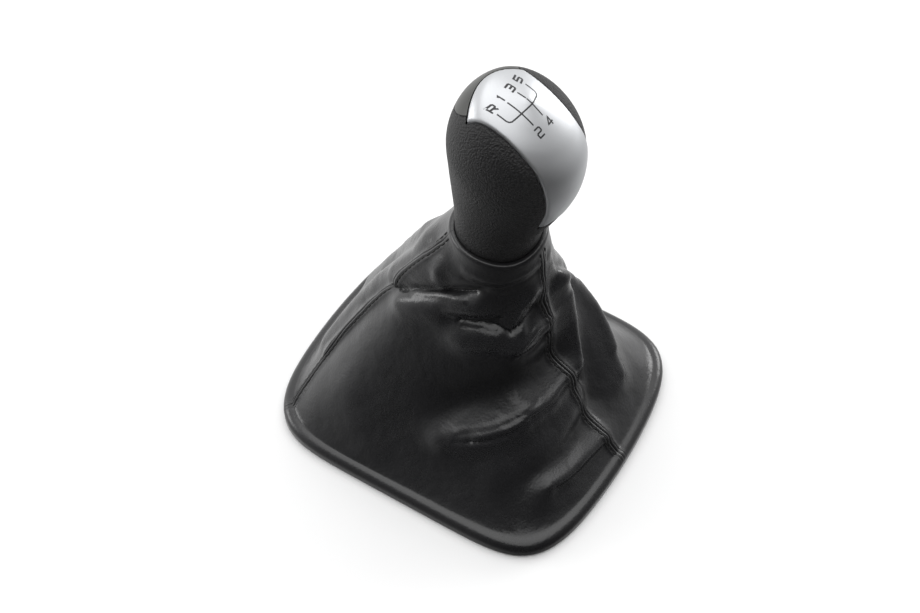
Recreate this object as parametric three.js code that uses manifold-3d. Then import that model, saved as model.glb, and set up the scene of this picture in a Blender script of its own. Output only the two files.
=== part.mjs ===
// A gear knob with its leather gaiter, as one assembly: a hollow leather cone of three sewn panels,
// wrapped round a plastic base frame and gathered under a gear knob with a satin cap.
// Millimetres. +Z is up, +Y is the front of the car, +X its right side. The origin is the centre
// of the base, on the plane that the frame rests on.
import * as THREE from "three";
import { mergeVertices } from "three/addons/utils/BufferGeometryUtils.js";
import Module from "manifold-3d";

const wasm = await Module();
wasm.setup();

// Base
const BASE_HALF_WIDTH = 68;
const BASE_HALF_LENGTH = 70;
const BASE_END_BULGE = 8;
const REAR_SQUARENESS = 6.5;
const FRONT_SQUARENESS = 6;
// Leather
const LEATHER = 1.2;
const CLEARANCE = 0.3;
const SEAM_GAP = 0.5;
const HEM_UNDER_FRAME = 11;
const HEM_IN_COLLAR = 30;
const SEAM_BAND = 5;
// Frame
const FRAME_WIDTH = 19;
const FRAME_HEIGHT = 5;
const EDGE_ROLL = 3.2;
const FRAME_EASE = 0.7;
const LAND_WIDTH = 5.5;
const TONGUE_WIDTH = 14;
const TONGUE_REACH = 6;
const TONGUE_THICKNESS = 2.5;
const TONGUE_OFFSET = 32;
// Collar, where the gaiter holds the neck of the knob
const COLLAR_Y = -10;
const COLLAR_TOP = 124;
// Knob
const NECK_RADIUS = 17.2;
const NECK_BOTTOM = 91;
const KNOB_TOP = 199.2;
const HEAD_HALF_WIDTH = 25;
const SKIN = 2.6;
const CAP_GAP = 0.3;
const PARTING_SHARE = 0.69;
const FRONT_START = 8;
// Lever sleeve in the knob
const SLEEVE_RADIUS = 9;
const LEVER_RADIUS = 6.3;
const SLEEVE_DEPTH = 46;
const SLEEVE_FLANGE_RADIUS = 12;
const SLEEVE_FLANGE = 3;
const SLEEVE_SLOT = 3;
const SLEEVE_END = 4;
// Tie round the turned-in hem
const TIE_HEIGHT = 3.6;
const TIE_THICKNESS = 0.7;
const TIE_Z = 95;
const TIE_HEAD = 5;
// Staples through the hem
const STAPLE_COUNT = 12;
const STAPLE_CROWN = 10;
const STAPLE_WIRE = 0.7;
const STAPLE_LEG = 4.2;

const RING_STEPS = 32;
const TAU = 2 * Math.PI;

// Solids

function solidOf(geometry) {
  const plain = geometry.clone();
  plain.deleteAttribute("normal");
  plain.deleteAttribute("uv");
  const merged = mergeVertices(plain, 1e-4);
  return new wasm.Manifold(
    new wasm.Mesh({
      numProp: 3,
      vertProperties: new Float32Array(merged.attributes.position.array),
      triVerts: new Uint32Array(merged.index.array),
    }),
  );
}

function geometryOf(solid) {
  const mesh = solid.getMesh();
  const geometry = new THREE.BufferGeometry();
  geometry.setAttribute("position", new THREE.BufferAttribute(mesh.vertProperties, 3));
  geometry.setIndex(new THREE.BufferAttribute(mesh.triVerts, 1));
  return geometry;
}

// A closed body from rows of points: each row is a closed ring, and the first and last are capped.
function loft(rings) {
  const count = rings[0].length;
  const positions = rings.flat().flatMap((p) => [p.x, p.y, p.z]);
  const index = [];
  for (let row = 0; row + 1 < rings.length; row++) {
    for (let i = 0; i < count; i++) {
      const a = row * count + i;
      const b = row * count + ((i + 1) % count);
      index.push(a, b, b + count, a, b + count, a + count);
    }
  }
  for (const [row, side] of [[0, -1], [rings.length - 1, 1]]) {
    const centre = rings[row]
      .reduce((sum, p) => sum.add(p), new THREE.Vector3())
      .divideScalar(count);
    const hub = positions.length / 3;
    positions.push(centre.x, centre.y, centre.z);
    for (let i = 0; i < count; i++) {
      const a = row * count + i;
      const b = row * count + ((i + 1) % count);
      index.push(...(side > 0 ? [a, b, hub] : [b, a, hub]));
    }
  }
  const geometry = new THREE.BufferGeometry();
  geometry.setAttribute("position", new THREE.Float32BufferAttribute(positions, 3));
  geometry.setIndex(index);
  return geometry;
}

function movedSolid(geometry, x, y, z) {
  return solidOf(geometry.clone().translate(x, y, z));
}

function cylinder(radius, bottom, top, x = 0, y = COLLAR_Y) {
  const upright = new THREE.CylinderGeometry(radius, radius, top - bottom, RING_STEPS);
  return movedSolid(upright.rotateX(Math.PI / 2), x, y, (bottom + top) / 2);
}

// Base outline

// The point of the base outline in the direction of an angle, moved inwards by an inset.
function baseOutline(angle, inset = 0) {
  const width = BASE_HALF_WIDTH - inset;
  const length = BASE_HALF_LENGTH - inset;
  const c = Math.cos(angle);
  const s = Math.sin(angle);
  const squareness = s > 0 ? FRONT_SQUARENESS : REAR_SQUARENESS;
  const reach = (Math.abs(c / width) ** squareness + Math.abs(s / length) ** squareness) ** (-1 / squareness);
  const x = reach * c;
  const y = reach * s;
  const endShare = Math.min(1, Math.abs(y) / length) ** 3;
  return new THREE.Vector2(x, y + Math.sign(s) * BASE_END_BULGE * endShare * (1 - (x / width) ** 2));
}

// A ring that follows the base outline, with a profile of (inset, height) points that closes on itself.
function outlineRing(profile, steps = 64) {
  const positions = [];
  const index = [];
  const count = profile.length;
  for (let i = 0; i < steps; i++) {
    for (const [inset, height] of profile) {
      const p = baseOutline((i / steps) * TAU, inset);
      positions.push(p.x, p.y, height);
    }
    for (let j = 0; j < count; j++) {
      const next = (i + 1) % steps;
      const a = i * count + j;
      const b = next * count + j;
      const c = next * count + ((j + 1) % count);
      const d = i * count + ((j + 1) % count);
      index.push(a, b, c, a, c, d);
    }
  }
  const geometry = new THREE.BufferGeometry();
  geometry.setAttribute("position", new THREE.Float32BufferAttribute(positions, 3));
  geometry.setIndex(index);
  return solidOf(geometry);
}

function mix(a, b, share) {
  return a + (b - a) * share;
}

// A height on the knob's head, as a share of the way from the collar's rim to the top.
function headLevel(share) {
  return mix(COLLAR_TOP, KNOB_TOP, share);
}

// Knob: elliptic sections up a spine that leans back over the neck, so that the cap faces the driver

const HEAD_HEIGHT = KNOB_TOP - COLLAR_TOP;
const HEAD_SECTIONS = [
  // height, spine behind the collar's axis, half width, half length, lean in degrees
  [NECK_BOTTOM, 0, NECK_RADIUS, NECK_RADIUS, 0],
  [mix(NECK_BOTTOM, COLLAR_TOP, 0.6), 0, NECK_RADIUS, NECK_RADIUS, 0],
  [COLLAR_TOP, 0, NECK_RADIUS, NECK_RADIUS, 0],
  [headLevel(0.158), -1.1, NECK_RADIUS + 0.7, NECK_RADIUS + 1.4, 3],
  [headLevel(0.315), -3.2, 0.812 * HEAD_HALF_WIDTH, 0.872 * HEAD_HALF_WIDTH, 8],
  [headLevel(0.473), -4.8, 0.92 * HEAD_HALF_WIDTH, 0.988 * HEAD_HALF_WIDTH, 14],
  [headLevel(0.618), -6, HEAD_HALF_WIDTH, 1.076 * HEAD_HALF_WIDTH, 19],
  [headLevel(0.75), -8.1, 0.976 * HEAD_HALF_WIDTH, 1.052 * HEAD_HALF_WIDTH, 23],
  [headLevel(0.855), -10.2, 0.864 * HEAD_HALF_WIDTH, 0.932 * HEAD_HALF_WIDTH, 26],
  [headLevel(0.928), -10.4, 0.664 * HEAD_HALF_WIDTH, 0.716 * HEAD_HALF_WIDTH, 28],
  [headLevel(0.971), -10.4, 0.36 * HEAD_HALF_WIDTH, 0.388 * HEAD_HALF_WIDTH, 28],
  [KNOB_TOP, -10.4, 0.048 * HEAD_HALF_WIDTH, 0.052 * HEAD_HALF_WIDTH, 28],
];

// One value of the sections, as a smooth curve over them.
function sectionCurve(column) {
  const points = HEAD_SECTIONS.map((section, i) => new THREE.Vector2(i, section[column]));
  return new THREE.SplineCurve(points);
}

const SECTION_CURVES = [0, 1, 2, 3, 4].map(sectionCurve);

// The knob's outer surface, or one inside it by an inset, as closed rings from the neck to the top.
function knobRings(inset, ringSteps = RING_STEPS, rowsEach = 2) {
  const rings = [];
  const rows = rowsEach * (HEAD_SECTIONS.length - 1);
  for (let row = 0; row <= rows; row++) {
    const [z, y, halfWidth, halfLength, lean] = SECTION_CURVES.map((curve) => curve.getPoint(row / rows).y);
    const shrink = Math.max(0.3, 1 - inset / halfWidth);
    const lowered = inset * THREE.MathUtils.smoothstep(z, headLevel(0.6), KNOB_TOP);
    const tilt = THREE.MathUtils.degToRad(lean);
    const ring = [];
    for (let i = 0; i < ringSteps; i++) {
      const angle = (i / ringSteps) * TAU;
      const along = halfLength * shrink * Math.sin(angle);
      ring.push(
        new THREE.Vector3(
          halfWidth * shrink * Math.cos(angle),
          COLLAR_Y + y + along * Math.cos(tilt) + lowered * Math.sin(tilt),
          z + along * Math.sin(tilt) - lowered * Math.cos(tilt),
        ),
      );
    }
    rings.push(ring);
  }
  return rings;
}

// The cap's outline, seen square on from above and behind: x across, y up towards the front.
const CAP_TILT = THREE.MathUtils.degToRad(57);
const CAP_CENTRE = new THREE.Vector3(0, COLLAR_Y - 6, headLevel(0.638));
const CAP_DEPTH_BELOW = 10;
const CAP_DEPTH = 2.4 * HEAD_HALF_WIDTH;
const CAP_HALF_WIDTH = 0.624 * HEAD_HALF_WIDTH;
const CAP_TAIL_HALF_WIDTH = 0.42 * HEAD_HALF_WIDTH;
const CAP_FRONT = 0.426 * HEAD_HEIGHT;
const CAP_CORNER = 0.339 * HEAD_HEIGHT;
const CAP_TAIL = -0.379 * HEAD_HEIGHT;

function capShape(grow) {
  const wide = CAP_HALF_WIDTH + grow;
  const tail = CAP_TAIL_HALF_WIDTH + grow;
  const end = CAP_TAIL - grow;
  const front = CAP_FRONT + grow;
  const corner = CAP_CORNER + grow;
  const shape = new THREE.Shape();
  shape.moveTo(-tail, end);
  shape.lineTo(tail, end);
  shape.bezierCurveTo(wide - 1.5, 0.65 * end, wide + 0.5, 0.2 * end, wide, 0);
  shape.lineTo(wide - 0.9, corner);
  shape.quadraticCurveTo(wide / 2, front, 0, front);
  shape.quadraticCurveTo(-wide / 2, front, -wide + 0.9, corner);
  shape.lineTo(-wide, 0);
  shape.bezierCurveTo(-wide - 0.5, 0.2 * end, -wide + 1.5, 0.65 * end, -tail, end);
  return shape;
}

// The cap's outline as a prism that runs out of the knob, up and backwards.
function capPrism(grow) {
  const prism = new THREE.ExtrudeGeometry(capShape(grow), {
    depth: CAP_DEPTH,
    bevelEnabled: false,
    curveSegments: 8,
  });
  prism.translate(0, 0, -CAP_DEPTH_BELOW - grow);
  prism.rotateX(CAP_TILT);
  return movedSolid(prism, CAP_CENTRE.x, CAP_CENTRE.y, CAP_CENTRE.z);
}

const knobOuter = solidOf(loft(knobRings(0)));
const knobInner = solidOf(loft(knobRings(SKIN)));
const knobCoreSpace = solidOf(loft(knobRings(SKIN + 2 * CLEARANCE, RING_STEPS / 2, 1)));

const capSolid = knobOuter.subtract(knobInner).intersect(capPrism(0));
const capPocket = capPrism(CAP_GAP);

// Everything above the parting line and in front of the cap's shoulders.
function frontRegion(gap) {
  const side = 4 * HEAD_HALF_WIDTH;
  const front = new THREE.BoxGeometry(side, side, side);
  return movedSolid(front, 0, CAP_CENTRE.y + FRONT_START + side / 2 + gap, headLevel(PARTING_SHARE) + side / 2 + gap);
}

const skinSolid = knobOuter.subtract(knobInner).subtract(capPocket);
const sleeveTop = NECK_BOTTOM + SLEEVE_FLANGE + SLEEVE_DEPTH;
const sleeveHole = cylinder(SLEEVE_RADIUS + CLEARANCE, NECK_BOTTOM - 5, sleeveTop + 2);
const frontSolid = skinSolid.intersect(frontRegion(CAP_GAP));
const flangeHole = cylinder(SLEEVE_FLANGE_RADIUS + CLEARANCE, NECK_BOTTOM - 5, NECK_BOTTOM + SLEEVE_FLANGE);
const gripSolid = skinSolid.subtract(frontRegion(0)).subtract(flangeHole);
const coreSolid = knobCoreSpace.subtract(sleeveHole).subtract(flangeHole);

// Lever sleeve: a flanged bush with a blind bore and a split wall
function sleeveSolid() {
  const flange = cylinder(SLEEVE_FLANGE_RADIUS, NECK_BOTTOM, NECK_BOTTOM + SLEEVE_FLANGE - CLEARANCE);
  const barrel = cylinder(SLEEVE_RADIUS, NECK_BOTTOM, sleeveTop);
  const bore = cylinder(LEVER_RADIUS, NECK_BOTTOM - 1, sleeveTop - SLEEVE_END);
  const slot = new THREE.BoxGeometry(SLEEVE_SLOT, 3 * SLEEVE_RADIUS, SLEEVE_DEPTH / 2);
  const split = movedSolid(slot, 0, COLLAR_Y, NECK_BOTTOM + SLEEVE_FLANGE + SLEEVE_DEPTH / 2);
  return flange.add(barrel).subtract(bore).subtract(split);
}

// Gaiter

const FRONT_SEAM_ANGLE = (49 / 180) * Math.PI;
const FRONT_SEAM_BOW = (14 / 180) * Math.PI;
const SEAM_REAR = { angle: -Math.PI / 2, bow: 0 };
const SEAM_REAR_AGAIN = { angle: TAU - Math.PI / 2, bow: 0 };
const SEAM_FRONT_RIGHT = { angle: FRONT_SEAM_ANGLE, bow: FRONT_SEAM_BOW };
const SEAM_FRONT_LEFT = { angle: Math.PI - FRONT_SEAM_ANGLE, bow: -FRONT_SEAM_BOW };
const FULLEST_ANGLE = (70 / 180) * Math.PI;
const CONE_LENGTH = 135;
const ANGLE_STEP = 0.01;
const HEM_RADIUS = NECK_RADIUS + CLEARANCE + LEATHER / 2;
const COLLAR_RADIUS = HEM_RADIUS + LEATHER + CLEARANCE + 0.6;
const LEATHER_BOTTOM = LEATHER / 2;
const LEATHER_TOP = LEATHER + FRAME_HEIGHT + 2 * CLEARANCE + LEATHER / 2;

// How steeply the cone falls: it hangs in at the rear and fills out towards the front and right.
function slope(angle) {
  return 1.9 - 0.62 * Math.sin(angle) - 0.3 * Math.cos(angle - FULLEST_ANGLE);
}

// Folds in the leather: height (below zero for a hollow), half width, and the line that the fold follows,
// as angles in degrees round the collar and shares of the way up from the frame.
const FOLDS = [
  [1.8, 6, [[111, 0.62], [128, 0.78], [145, 0.895]]],
  [-1.8, 4, [[116, 0.61], [133, 0.72], [158, 0.8], [192, 0.87]]],
  [2.4, 7, [[133, 0.64], [157, 0.73], [191, 0.77]]],
  [-1.7, 5, [[169, 0.7], [195, 0.715], [212, 0.71], [224, 0.68], [241, 0.7], [261, 0.725]]],
  [-1, 7, [[214, 0.75], [219, 0.83], [229, 0.9]]],
  [2.8, 8, [[186, 0.62], [211, 0.645], [226, 0.63]]],
  [1.6, 5, [[227, 0.7], [235, 0.775], [252, 0.815]]],
  [1.6, 5, [[233, 0.595], [252, 0.625], [267, 0.61]]],
  [3, 7, [[267, 0.34], [249, 0.33], [233, 0.34], [218, 0.3], [203, 0.25], [190, 0.22]]],
  [-3, 10, [[266, 0.44], [244, 0.44], [226, 0.46], [210, 0.41], [191, 0.35]]],
  [2.6, 6, [[269, 0.07], [258, 0.085], [246, 0.09], [234, 0.105]]],
  [-1.8, 7, [[266, 0.15], [248, 0.14], [232, 0.15]]],
  [1.6, 7, [[267, 0.23], [247, 0.2], [230, 0.2], [218, 0.18]]],
  [3, 6, [[300, 0.7], [296, 0.495], [289, 0.395], [280, 0.33]]],
  [-2.6, 7, [[322, 0.5], [305, 0.355], [292, 0.27], [280, 0.18]]],
  [3, 7, [[332, 0.45], [312, 0.27], [303, 0.2], [297, 0.13]]],
  [1.6, 6, [[298, 0.93], [318, 0.75], [326, 0.6]]],
  [5.5, 20, [[342, 0.62], [340, 0.36]]],
  [2.4, 8, [[108, 0.85], [98, 0.6], [100, 0.35], [112, 0.15]]],
  [-2, 7, [[97, 0.75], [86, 0.45], [92, 0.2]]],
  [2.4, 8, [[82, 0.75], [72, 0.45], [76, 0.18]]],
  [1, 9, [[143, 0.22], [152, 0.13], [161, 0.06]]],
  [2, 8, [[20, 0.75], [14, 0.4]]],
  [-2, 8, [[36, 0.7], [30, 0.35]]],
];

// The distance on the cone, in millimetres, from a point to the line of a fold. The line is turned as a
// whole, by its middle, so that one on the far side of the cone isn't pulled apart.
function distanceToFold(line, degrees, share, reach) {
  const middle = (line[0][0] + line.at(-1)[0]) / 2;
  const turn = THREE.MathUtils.euclideanModulo(middle - degrees + 180, 360) - 180 - middle;
  const points = line.map(([lineDegrees, lineShare]) => {
    const around = THREE.MathUtils.degToRad(lineDegrees + turn) * reach;
    return new THREE.Vector3(around, (lineShare - share) * CONE_LENGTH, 0);
  });
  const here = new THREE.Vector3();
  const nearest = new THREE.Vector3();
  let least = Infinity;
  for (let i = 0; i + 1 < points.length; i++) {
    new THREE.Line3(points[i], points[i + 1]).closestPointToPoint(here, true, nearest);
    least = Math.min(least, nearest.length());
  }
  return least;
}

function foldHeight(angle, share, reach) {
  const degrees = THREE.MathUtils.radToDeg(angle);
  let height = 0;
  for (const [amount, width, line] of FOLDS) {
    height += amount * Math.exp(-((distanceToFold(line, degrees, share, reach) / width) ** 2));
  }
  return height * Math.min(1, 8 * share * (1 - share));
}

const CONE_SHARES = [0, 0.04, 0.1, 0.17, 0.25, 0.33, 0.41, 0.49, 0.57, 0.65, 0.73, 0.81, 0.88, 0.95, 1];

// A point of the leather's middle layer on the cone, from the frame's top edge to the collar's rim.
function conePoint(angle, share) {
  const rim = baseOutline(angle, EDGE_ROLL + LEATHER / 2);
  const fall = (1 - share) ** slope(angle);
  const x = mix(COLLAR_RADIUS * Math.cos(angle), rim.x, fall);
  const y = mix(COLLAR_Y + COLLAR_RADIUS * Math.sin(angle), rim.y, fall);
  const swell = foldHeight(angle, share, Math.hypot(x, y - COLLAR_Y));
  return new THREE.Vector3(
    x + swell * Math.cos(angle),
    y + swell * Math.sin(angle),
    mix(LEATHER_TOP, COLLAR_TOP, share) + swell * 0.4,
  );
}

function hemPoint(angle, inset, height) {
  const p = baseOutline(angle, inset);
  return new THREE.Vector3(p.x, p.y, height);
}

function collarPoint(angle, radius, height) {
  return new THREE.Vector3(radius * Math.cos(angle), COLLAR_Y + radius * Math.sin(angle), height);
}

// The leather's rows, from the hem under the frame, up the cone, to the hem turned down in the collar.
// Each row has its share of the way up, how far the seam stands up there, and a point for each angle.
const LEATHER_ROWS = [
  { share: 0, seam: 0, at: (angle) => hemPoint(angle, HEM_UNDER_FRAME, LEATHER_BOTTOM) },
  { share: 0, seam: 0, at: (angle) => hemPoint(angle, HEM_UNDER_FRAME / 2, LEATHER_BOTTOM) },
  { share: 0, seam: 0, at: (angle) => hemPoint(angle, LEATHER, LEATHER_BOTTOM) },
  { share: 0, seam: 0, at: (angle) => hemPoint(angle, LEATHER / 2, LEATHER_BOTTOM + LEATHER / 2) },
  { share: 0, seam: 0, at: (angle) => hemPoint(angle, LEATHER / 2, LEATHER_TOP - EDGE_ROLL * 0.75) },
  {
    share: 0,
    seam: 0.5,
    at: (angle) => hemPoint(angle, EDGE_ROLL / 4 + LEATHER / 2, LEATHER_TOP - EDGE_ROLL / 4),
  },
  ...CONE_SHARES.map((share) => ({ share, seam: share < 1 ? 1 : 0, at: (angle) => conePoint(angle, share) })),
  {
    share: 1,
    seam: 0,
    at: (angle) => collarPoint(angle, (COLLAR_RADIUS + HEM_RADIUS) / 2, COLLAR_TOP + LEATHER),
  },
  { share: 1, seam: 0, at: (angle) => collarPoint(angle, HEM_RADIUS, COLLAR_TOP) },
  { share: 1, seam: 0, at: (angle) => collarPoint(angle, HEM_RADIUS, COLLAR_TOP - HEM_IN_COLLAR) },
];

// A seam's angle part of the way up: the two front seams bow forwards, so that the front panel narrows.
function seamAngle(seam, share) {
  return seam.angle + seam.bow * Math.sin(Math.PI * share);
}

// Across a seam: distance from the seam line, and height of the leather there.
const SEAM_PROFILE = [
  [SEAM_GAP / 2, -0.25],
  [SEAM_BAND * 0.35, 0.45],
  [SEAM_BAND * 0.75, 0.45],
  [SEAM_BAND, 0],
];

// One panel of leather between two seams: both faces of the middle layer, closed round the edge.
function leatherPanel(fromSeam, toSeam, columns) {
  const rows = LEATHER_ROWS.length;
  const angles = [];
  const lifts = [];
  const place = (column, j, angle, lift) => {
    angles[column] ??= [];
    lifts[column] ??= [];
    angles[column][j] = angle;
    lifts[column][j] = lift * LEATHER_ROWS[j].seam;
  };
  const band = SEAM_PROFILE.length;
  const last = columns + 2 * band;
  LEATHER_ROWS.forEach((row, j) => {
    const from = seamAngle(fromSeam, row.share);
    const to = seamAngle(toSeam, row.share);
    const reachFrom = row.at(from).sub(new THREE.Vector3(0, COLLAR_Y, row.at(from).z)).length();
    const reachTo = row.at(to).sub(new THREE.Vector3(0, COLLAR_Y, row.at(to).z)).length();
    SEAM_PROFILE.forEach(([distance, lift], i) => {
      place(i, j, from + distance / reachFrom, lift);
      place(last - i, j, to - distance / reachTo, lift);
    });
    const inner = from + SEAM_BAND / reachFrom;
    const outer = to - SEAM_BAND / reachTo;
    for (let i = 0; i <= columns; i++) {
      place(band + i, j, mix(inner, outer, (i + 1) / (columns + 2)), 0);
    }
  });
  const normalAt = (angle, j) => {
    const row = LEATHER_ROWS[j];
    const alongRow = row.at(angle + ANGLE_STEP).sub(row.at(angle - ANGLE_STEP));
    const above = LEATHER_ROWS[Math.min(j + 1, rows - 1)].at(angle);
    const alongPath = above.sub(LEATHER_ROWS[Math.max(j - 1, 0)].at(angle));
    return alongRow.cross(alongPath).normalize();
  };
  const middle = angles.map((column) => column.map((angle, j) => LEATHER_ROWS[j].at(angle)));
  const normals = angles.map((column) => column.map((angle, j) => normalAt(angle, j)));
  const positions = [];
  for (const side of [1, -1]) {
    for (let i = 0; i <= last; i++) {
      for (let j = 0; j < rows; j++) {
        const offset = lifts[i][j] + (side * LEATHER) / 2;
        const p = middle[i][j].clone().addScaledVector(normals[i][j], offset);
        positions.push(p.x, p.y, p.z);
      }
    }
  }
  const at = (side, i, j) => (side * (last + 1) + i) * rows + j;
  const index = [];
  const quad = (a, b, c, d) => index.push(a, b, c, a, c, d);
  for (let i = 0; i < last; i++) {
    for (let j = 0; j + 1 < rows; j++) {
      quad(at(0, i, j), at(0, i + 1, j), at(0, i + 1, j + 1), at(0, i, j + 1));
      quad(at(1, i, j), at(1, i, j + 1), at(1, i + 1, j + 1), at(1, i + 1, j));
    }
    quad(at(0, i, 0), at(1, i, 0), at(1, i + 1, 0), at(0, i + 1, 0));
    quad(at(0, i, rows - 1), at(0, i + 1, rows - 1), at(1, i + 1, rows - 1), at(1, i, rows - 1));
  }
  for (let j = 0; j + 1 < rows; j++) {
    quad(at(0, 0, j), at(0, 0, j + 1), at(1, 0, j + 1), at(1, 0, j));
    quad(at(0, last, j), at(1, last, j), at(1, last, j + 1), at(0, last, j + 1));
  }
  const geometry = new THREE.BufferGeometry();
  geometry.setAttribute("position", new THREE.Float32BufferAttribute(positions, 3));
  geometry.setIndex(index);
  return solidOf(geometry);
}

// Frame: a ring over the hem, with an inner land that comes down flush with the hem's underside
const FRAME_BOTTOM = LEATHER + CLEARANCE;
const FRAME_TOP = FRAME_BOTTOM + FRAME_HEIGHT;

function frameSolid() {
  const outside = LEATHER + FRAME_EASE;
  let frame = outlineRing([
    [outside, FRAME_BOTTOM],
    [outside, FRAME_TOP - EDGE_ROLL],
    [outside + EDGE_ROLL, FRAME_TOP],
    [FRAME_WIDTH, FRAME_TOP],
    [FRAME_WIDTH, 0],
    [FRAME_WIDTH - LAND_WIDTH, 0],
    [FRAME_WIDTH - LAND_WIDTH, FRAME_BOTTOM],
  ]);
  for (const end of [-1, 1]) {
    for (const side of [-1, 1]) {
      const reach = TONGUE_REACH + 4;
      const tongue = new THREE.BoxGeometry(TONGUE_WIDTH, reach, TONGUE_THICKNESS);
      const innerY = BASE_HALF_LENGTH - FRAME_WIDTH + reach / 2 - TONGUE_REACH + BASE_END_BULGE / 2;
      frame = frame.add(
        movedSolid(tongue, side * TONGUE_OFFSET, end * innerY, FRAME_TOP - TONGUE_THICKNESS / 2),
      );
    }
  }
  return frame;
}

// Staples that hold the hem up to the frame: a crown under the hem and two legs into the frame

function stapleSolid(grow) {
  const half = STAPLE_CROWN / 2 + grow;
  const wire = STAPLE_WIRE + grow;
  const shape = new THREE.Shape();
  shape.moveTo(-half, -grow);
  shape.lineTo(half, -grow);
  shape.lineTo(half, STAPLE_LEG + grow);
  shape.lineTo(half - wire - grow, STAPLE_LEG + grow);
  shape.lineTo(half - wire - grow, wire);
  shape.lineTo(-half + wire + grow, wire);
  shape.lineTo(-half + wire + grow, STAPLE_LEG + grow);
  shape.lineTo(-half, STAPLE_LEG + grow);
  shape.closePath();
  const depth = STAPLE_WIRE + 2 * grow;
  const staple = new THREE.ExtrudeGeometry(shape, { depth, bevelEnabled: false });
  return staple.translate(0, 0, -depth / 2).rotateX(Math.PI / 2);
}

function staplePlaces() {
  const places = [];
  for (let i = 0; i < STAPLE_COUNT; i++) {
    const angle = ((i + 0.5) / STAPLE_COUNT) * TAU;
    const here = baseOutline(angle, HEM_UNDER_FRAME / 2);
    const ahead = baseOutline(angle + 0.05, HEM_UNDER_FRAME / 2);
    const along = ahead.sub(here);
    places.push({ x: here.x, y: here.y, turn: Math.atan2(along.y, along.x) });
  }
  return places;
}

function placedStaple(place, grow) {
  return solidOf(stapleSolid(grow).rotateZ(place.turn).translate(place.x, place.y, 0));
}

// Tie: a band drawn tight round the turned-in hem, with its lock at the front
function tieSolid() {
  const inner = HEM_RADIUS + LEATHER / 2 + 0.15;
  const outer = inner + TIE_THICKNESS;
  const top = TIE_Z + TIE_HEIGHT;
  const band = cylinder(outer, TIE_Z, top).subtract(cylinder(inner, TIE_Z - 1, top + 1));
  const lock = new THREE.BoxGeometry(TIE_HEAD, TIE_HEAD, TIE_HEAD);
  return band.add(movedSolid(lock, 0, COLLAR_Y + outer + TIE_HEAD / 2 - 0.5, TIE_Z + TIE_HEIGHT / 2));
}

// Assembly

function matte(color, roughness, metalness = 0) {
  return new THREE.MeshStandardMaterial({ color, roughness, metalness });
}

const leatherLook = matte(0x1b1b1c, 0.5);
const gripLook = matte(0x262626, 0.65);
const frontLook = matte(0x3a3a38, 0.5);
const capLook = matte(0xc6c7c9, 0.3, 0.9);
const plasticLook = matte(0x202020, 0.6);
const tieLook = matte(0x111111, 0.5);
const steelLook = matte(0xb0b0b0, 0.35, 1);

const gearKnobWithGaiter = new THREE.Group();

function addPiece(name, solid, look) {
  const mesh = new THREE.Mesh(geometryOf(solid), look);
  mesh.name = name;
  gearKnobWithGaiter.add(mesh);
}

const places = staplePlaces();
const staplePockets = places.map((place) => placedStaple(place, CLEARANCE));
const withPockets = (solid) => staplePockets.reduce((left, pocket) => left.subtract(pocket), solid);

addPiece("knob_core", coreSolid, plasticLook);
addPiece("knob_grip", gripSolid, gripLook);
addPiece("knob_front_shell", frontSolid, frontLook);
addPiece("knob_cap", capSolid, capLook);
addPiece("lever_sleeve", sleeveSolid(), plasticLook);
addPiece("gaiter_tie", tieSolid(), tieLook);
addPiece("gaiter_left_panel", withPockets(leatherPanel(SEAM_FRONT_LEFT, SEAM_REAR_AGAIN, 17)), leatherLook);
addPiece("gaiter_right_panel", withPockets(leatherPanel(SEAM_REAR, SEAM_FRONT_RIGHT, 17)), leatherLook);
addPiece("gaiter_front_panel", withPockets(leatherPanel(SEAM_FRONT_RIGHT, SEAM_FRONT_LEFT, 8)), leatherLook);
addPiece("base_frame", withPockets(frameSolid()), plasticLook);
places.forEach((place, i) => addPiece(`hem_staple_${i + 1}`, placedStaple(place, 0), steelLook));

export default gearKnobWithGaiter;
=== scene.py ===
import math

import bpy
import numpy as np
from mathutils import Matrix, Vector, noise
from mathutils.bvhtree import BVHTree


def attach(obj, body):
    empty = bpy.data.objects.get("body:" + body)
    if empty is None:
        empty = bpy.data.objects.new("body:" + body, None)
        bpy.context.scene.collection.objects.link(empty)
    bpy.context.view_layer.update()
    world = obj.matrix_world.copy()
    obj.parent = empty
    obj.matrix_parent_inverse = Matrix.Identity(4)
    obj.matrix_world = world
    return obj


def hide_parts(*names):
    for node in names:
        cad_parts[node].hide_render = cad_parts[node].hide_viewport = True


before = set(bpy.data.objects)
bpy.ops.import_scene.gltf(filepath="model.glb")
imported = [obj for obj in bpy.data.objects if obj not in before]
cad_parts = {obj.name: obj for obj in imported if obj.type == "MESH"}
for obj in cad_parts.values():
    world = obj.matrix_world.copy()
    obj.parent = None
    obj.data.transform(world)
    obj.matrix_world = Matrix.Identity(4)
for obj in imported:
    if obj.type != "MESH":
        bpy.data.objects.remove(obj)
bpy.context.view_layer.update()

bl_info = {
    "name": "Gear knob with gaiter",
    "version": (1, 0, 0),
    "blender": (4, 5, 0),
    "location": "3D View > Sidebar > Gaiter",
    "description": "Dresses a gear knob and its sewn leather gaiter",
    "category": "Add Mesh",
}

MM = 0.001

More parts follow.
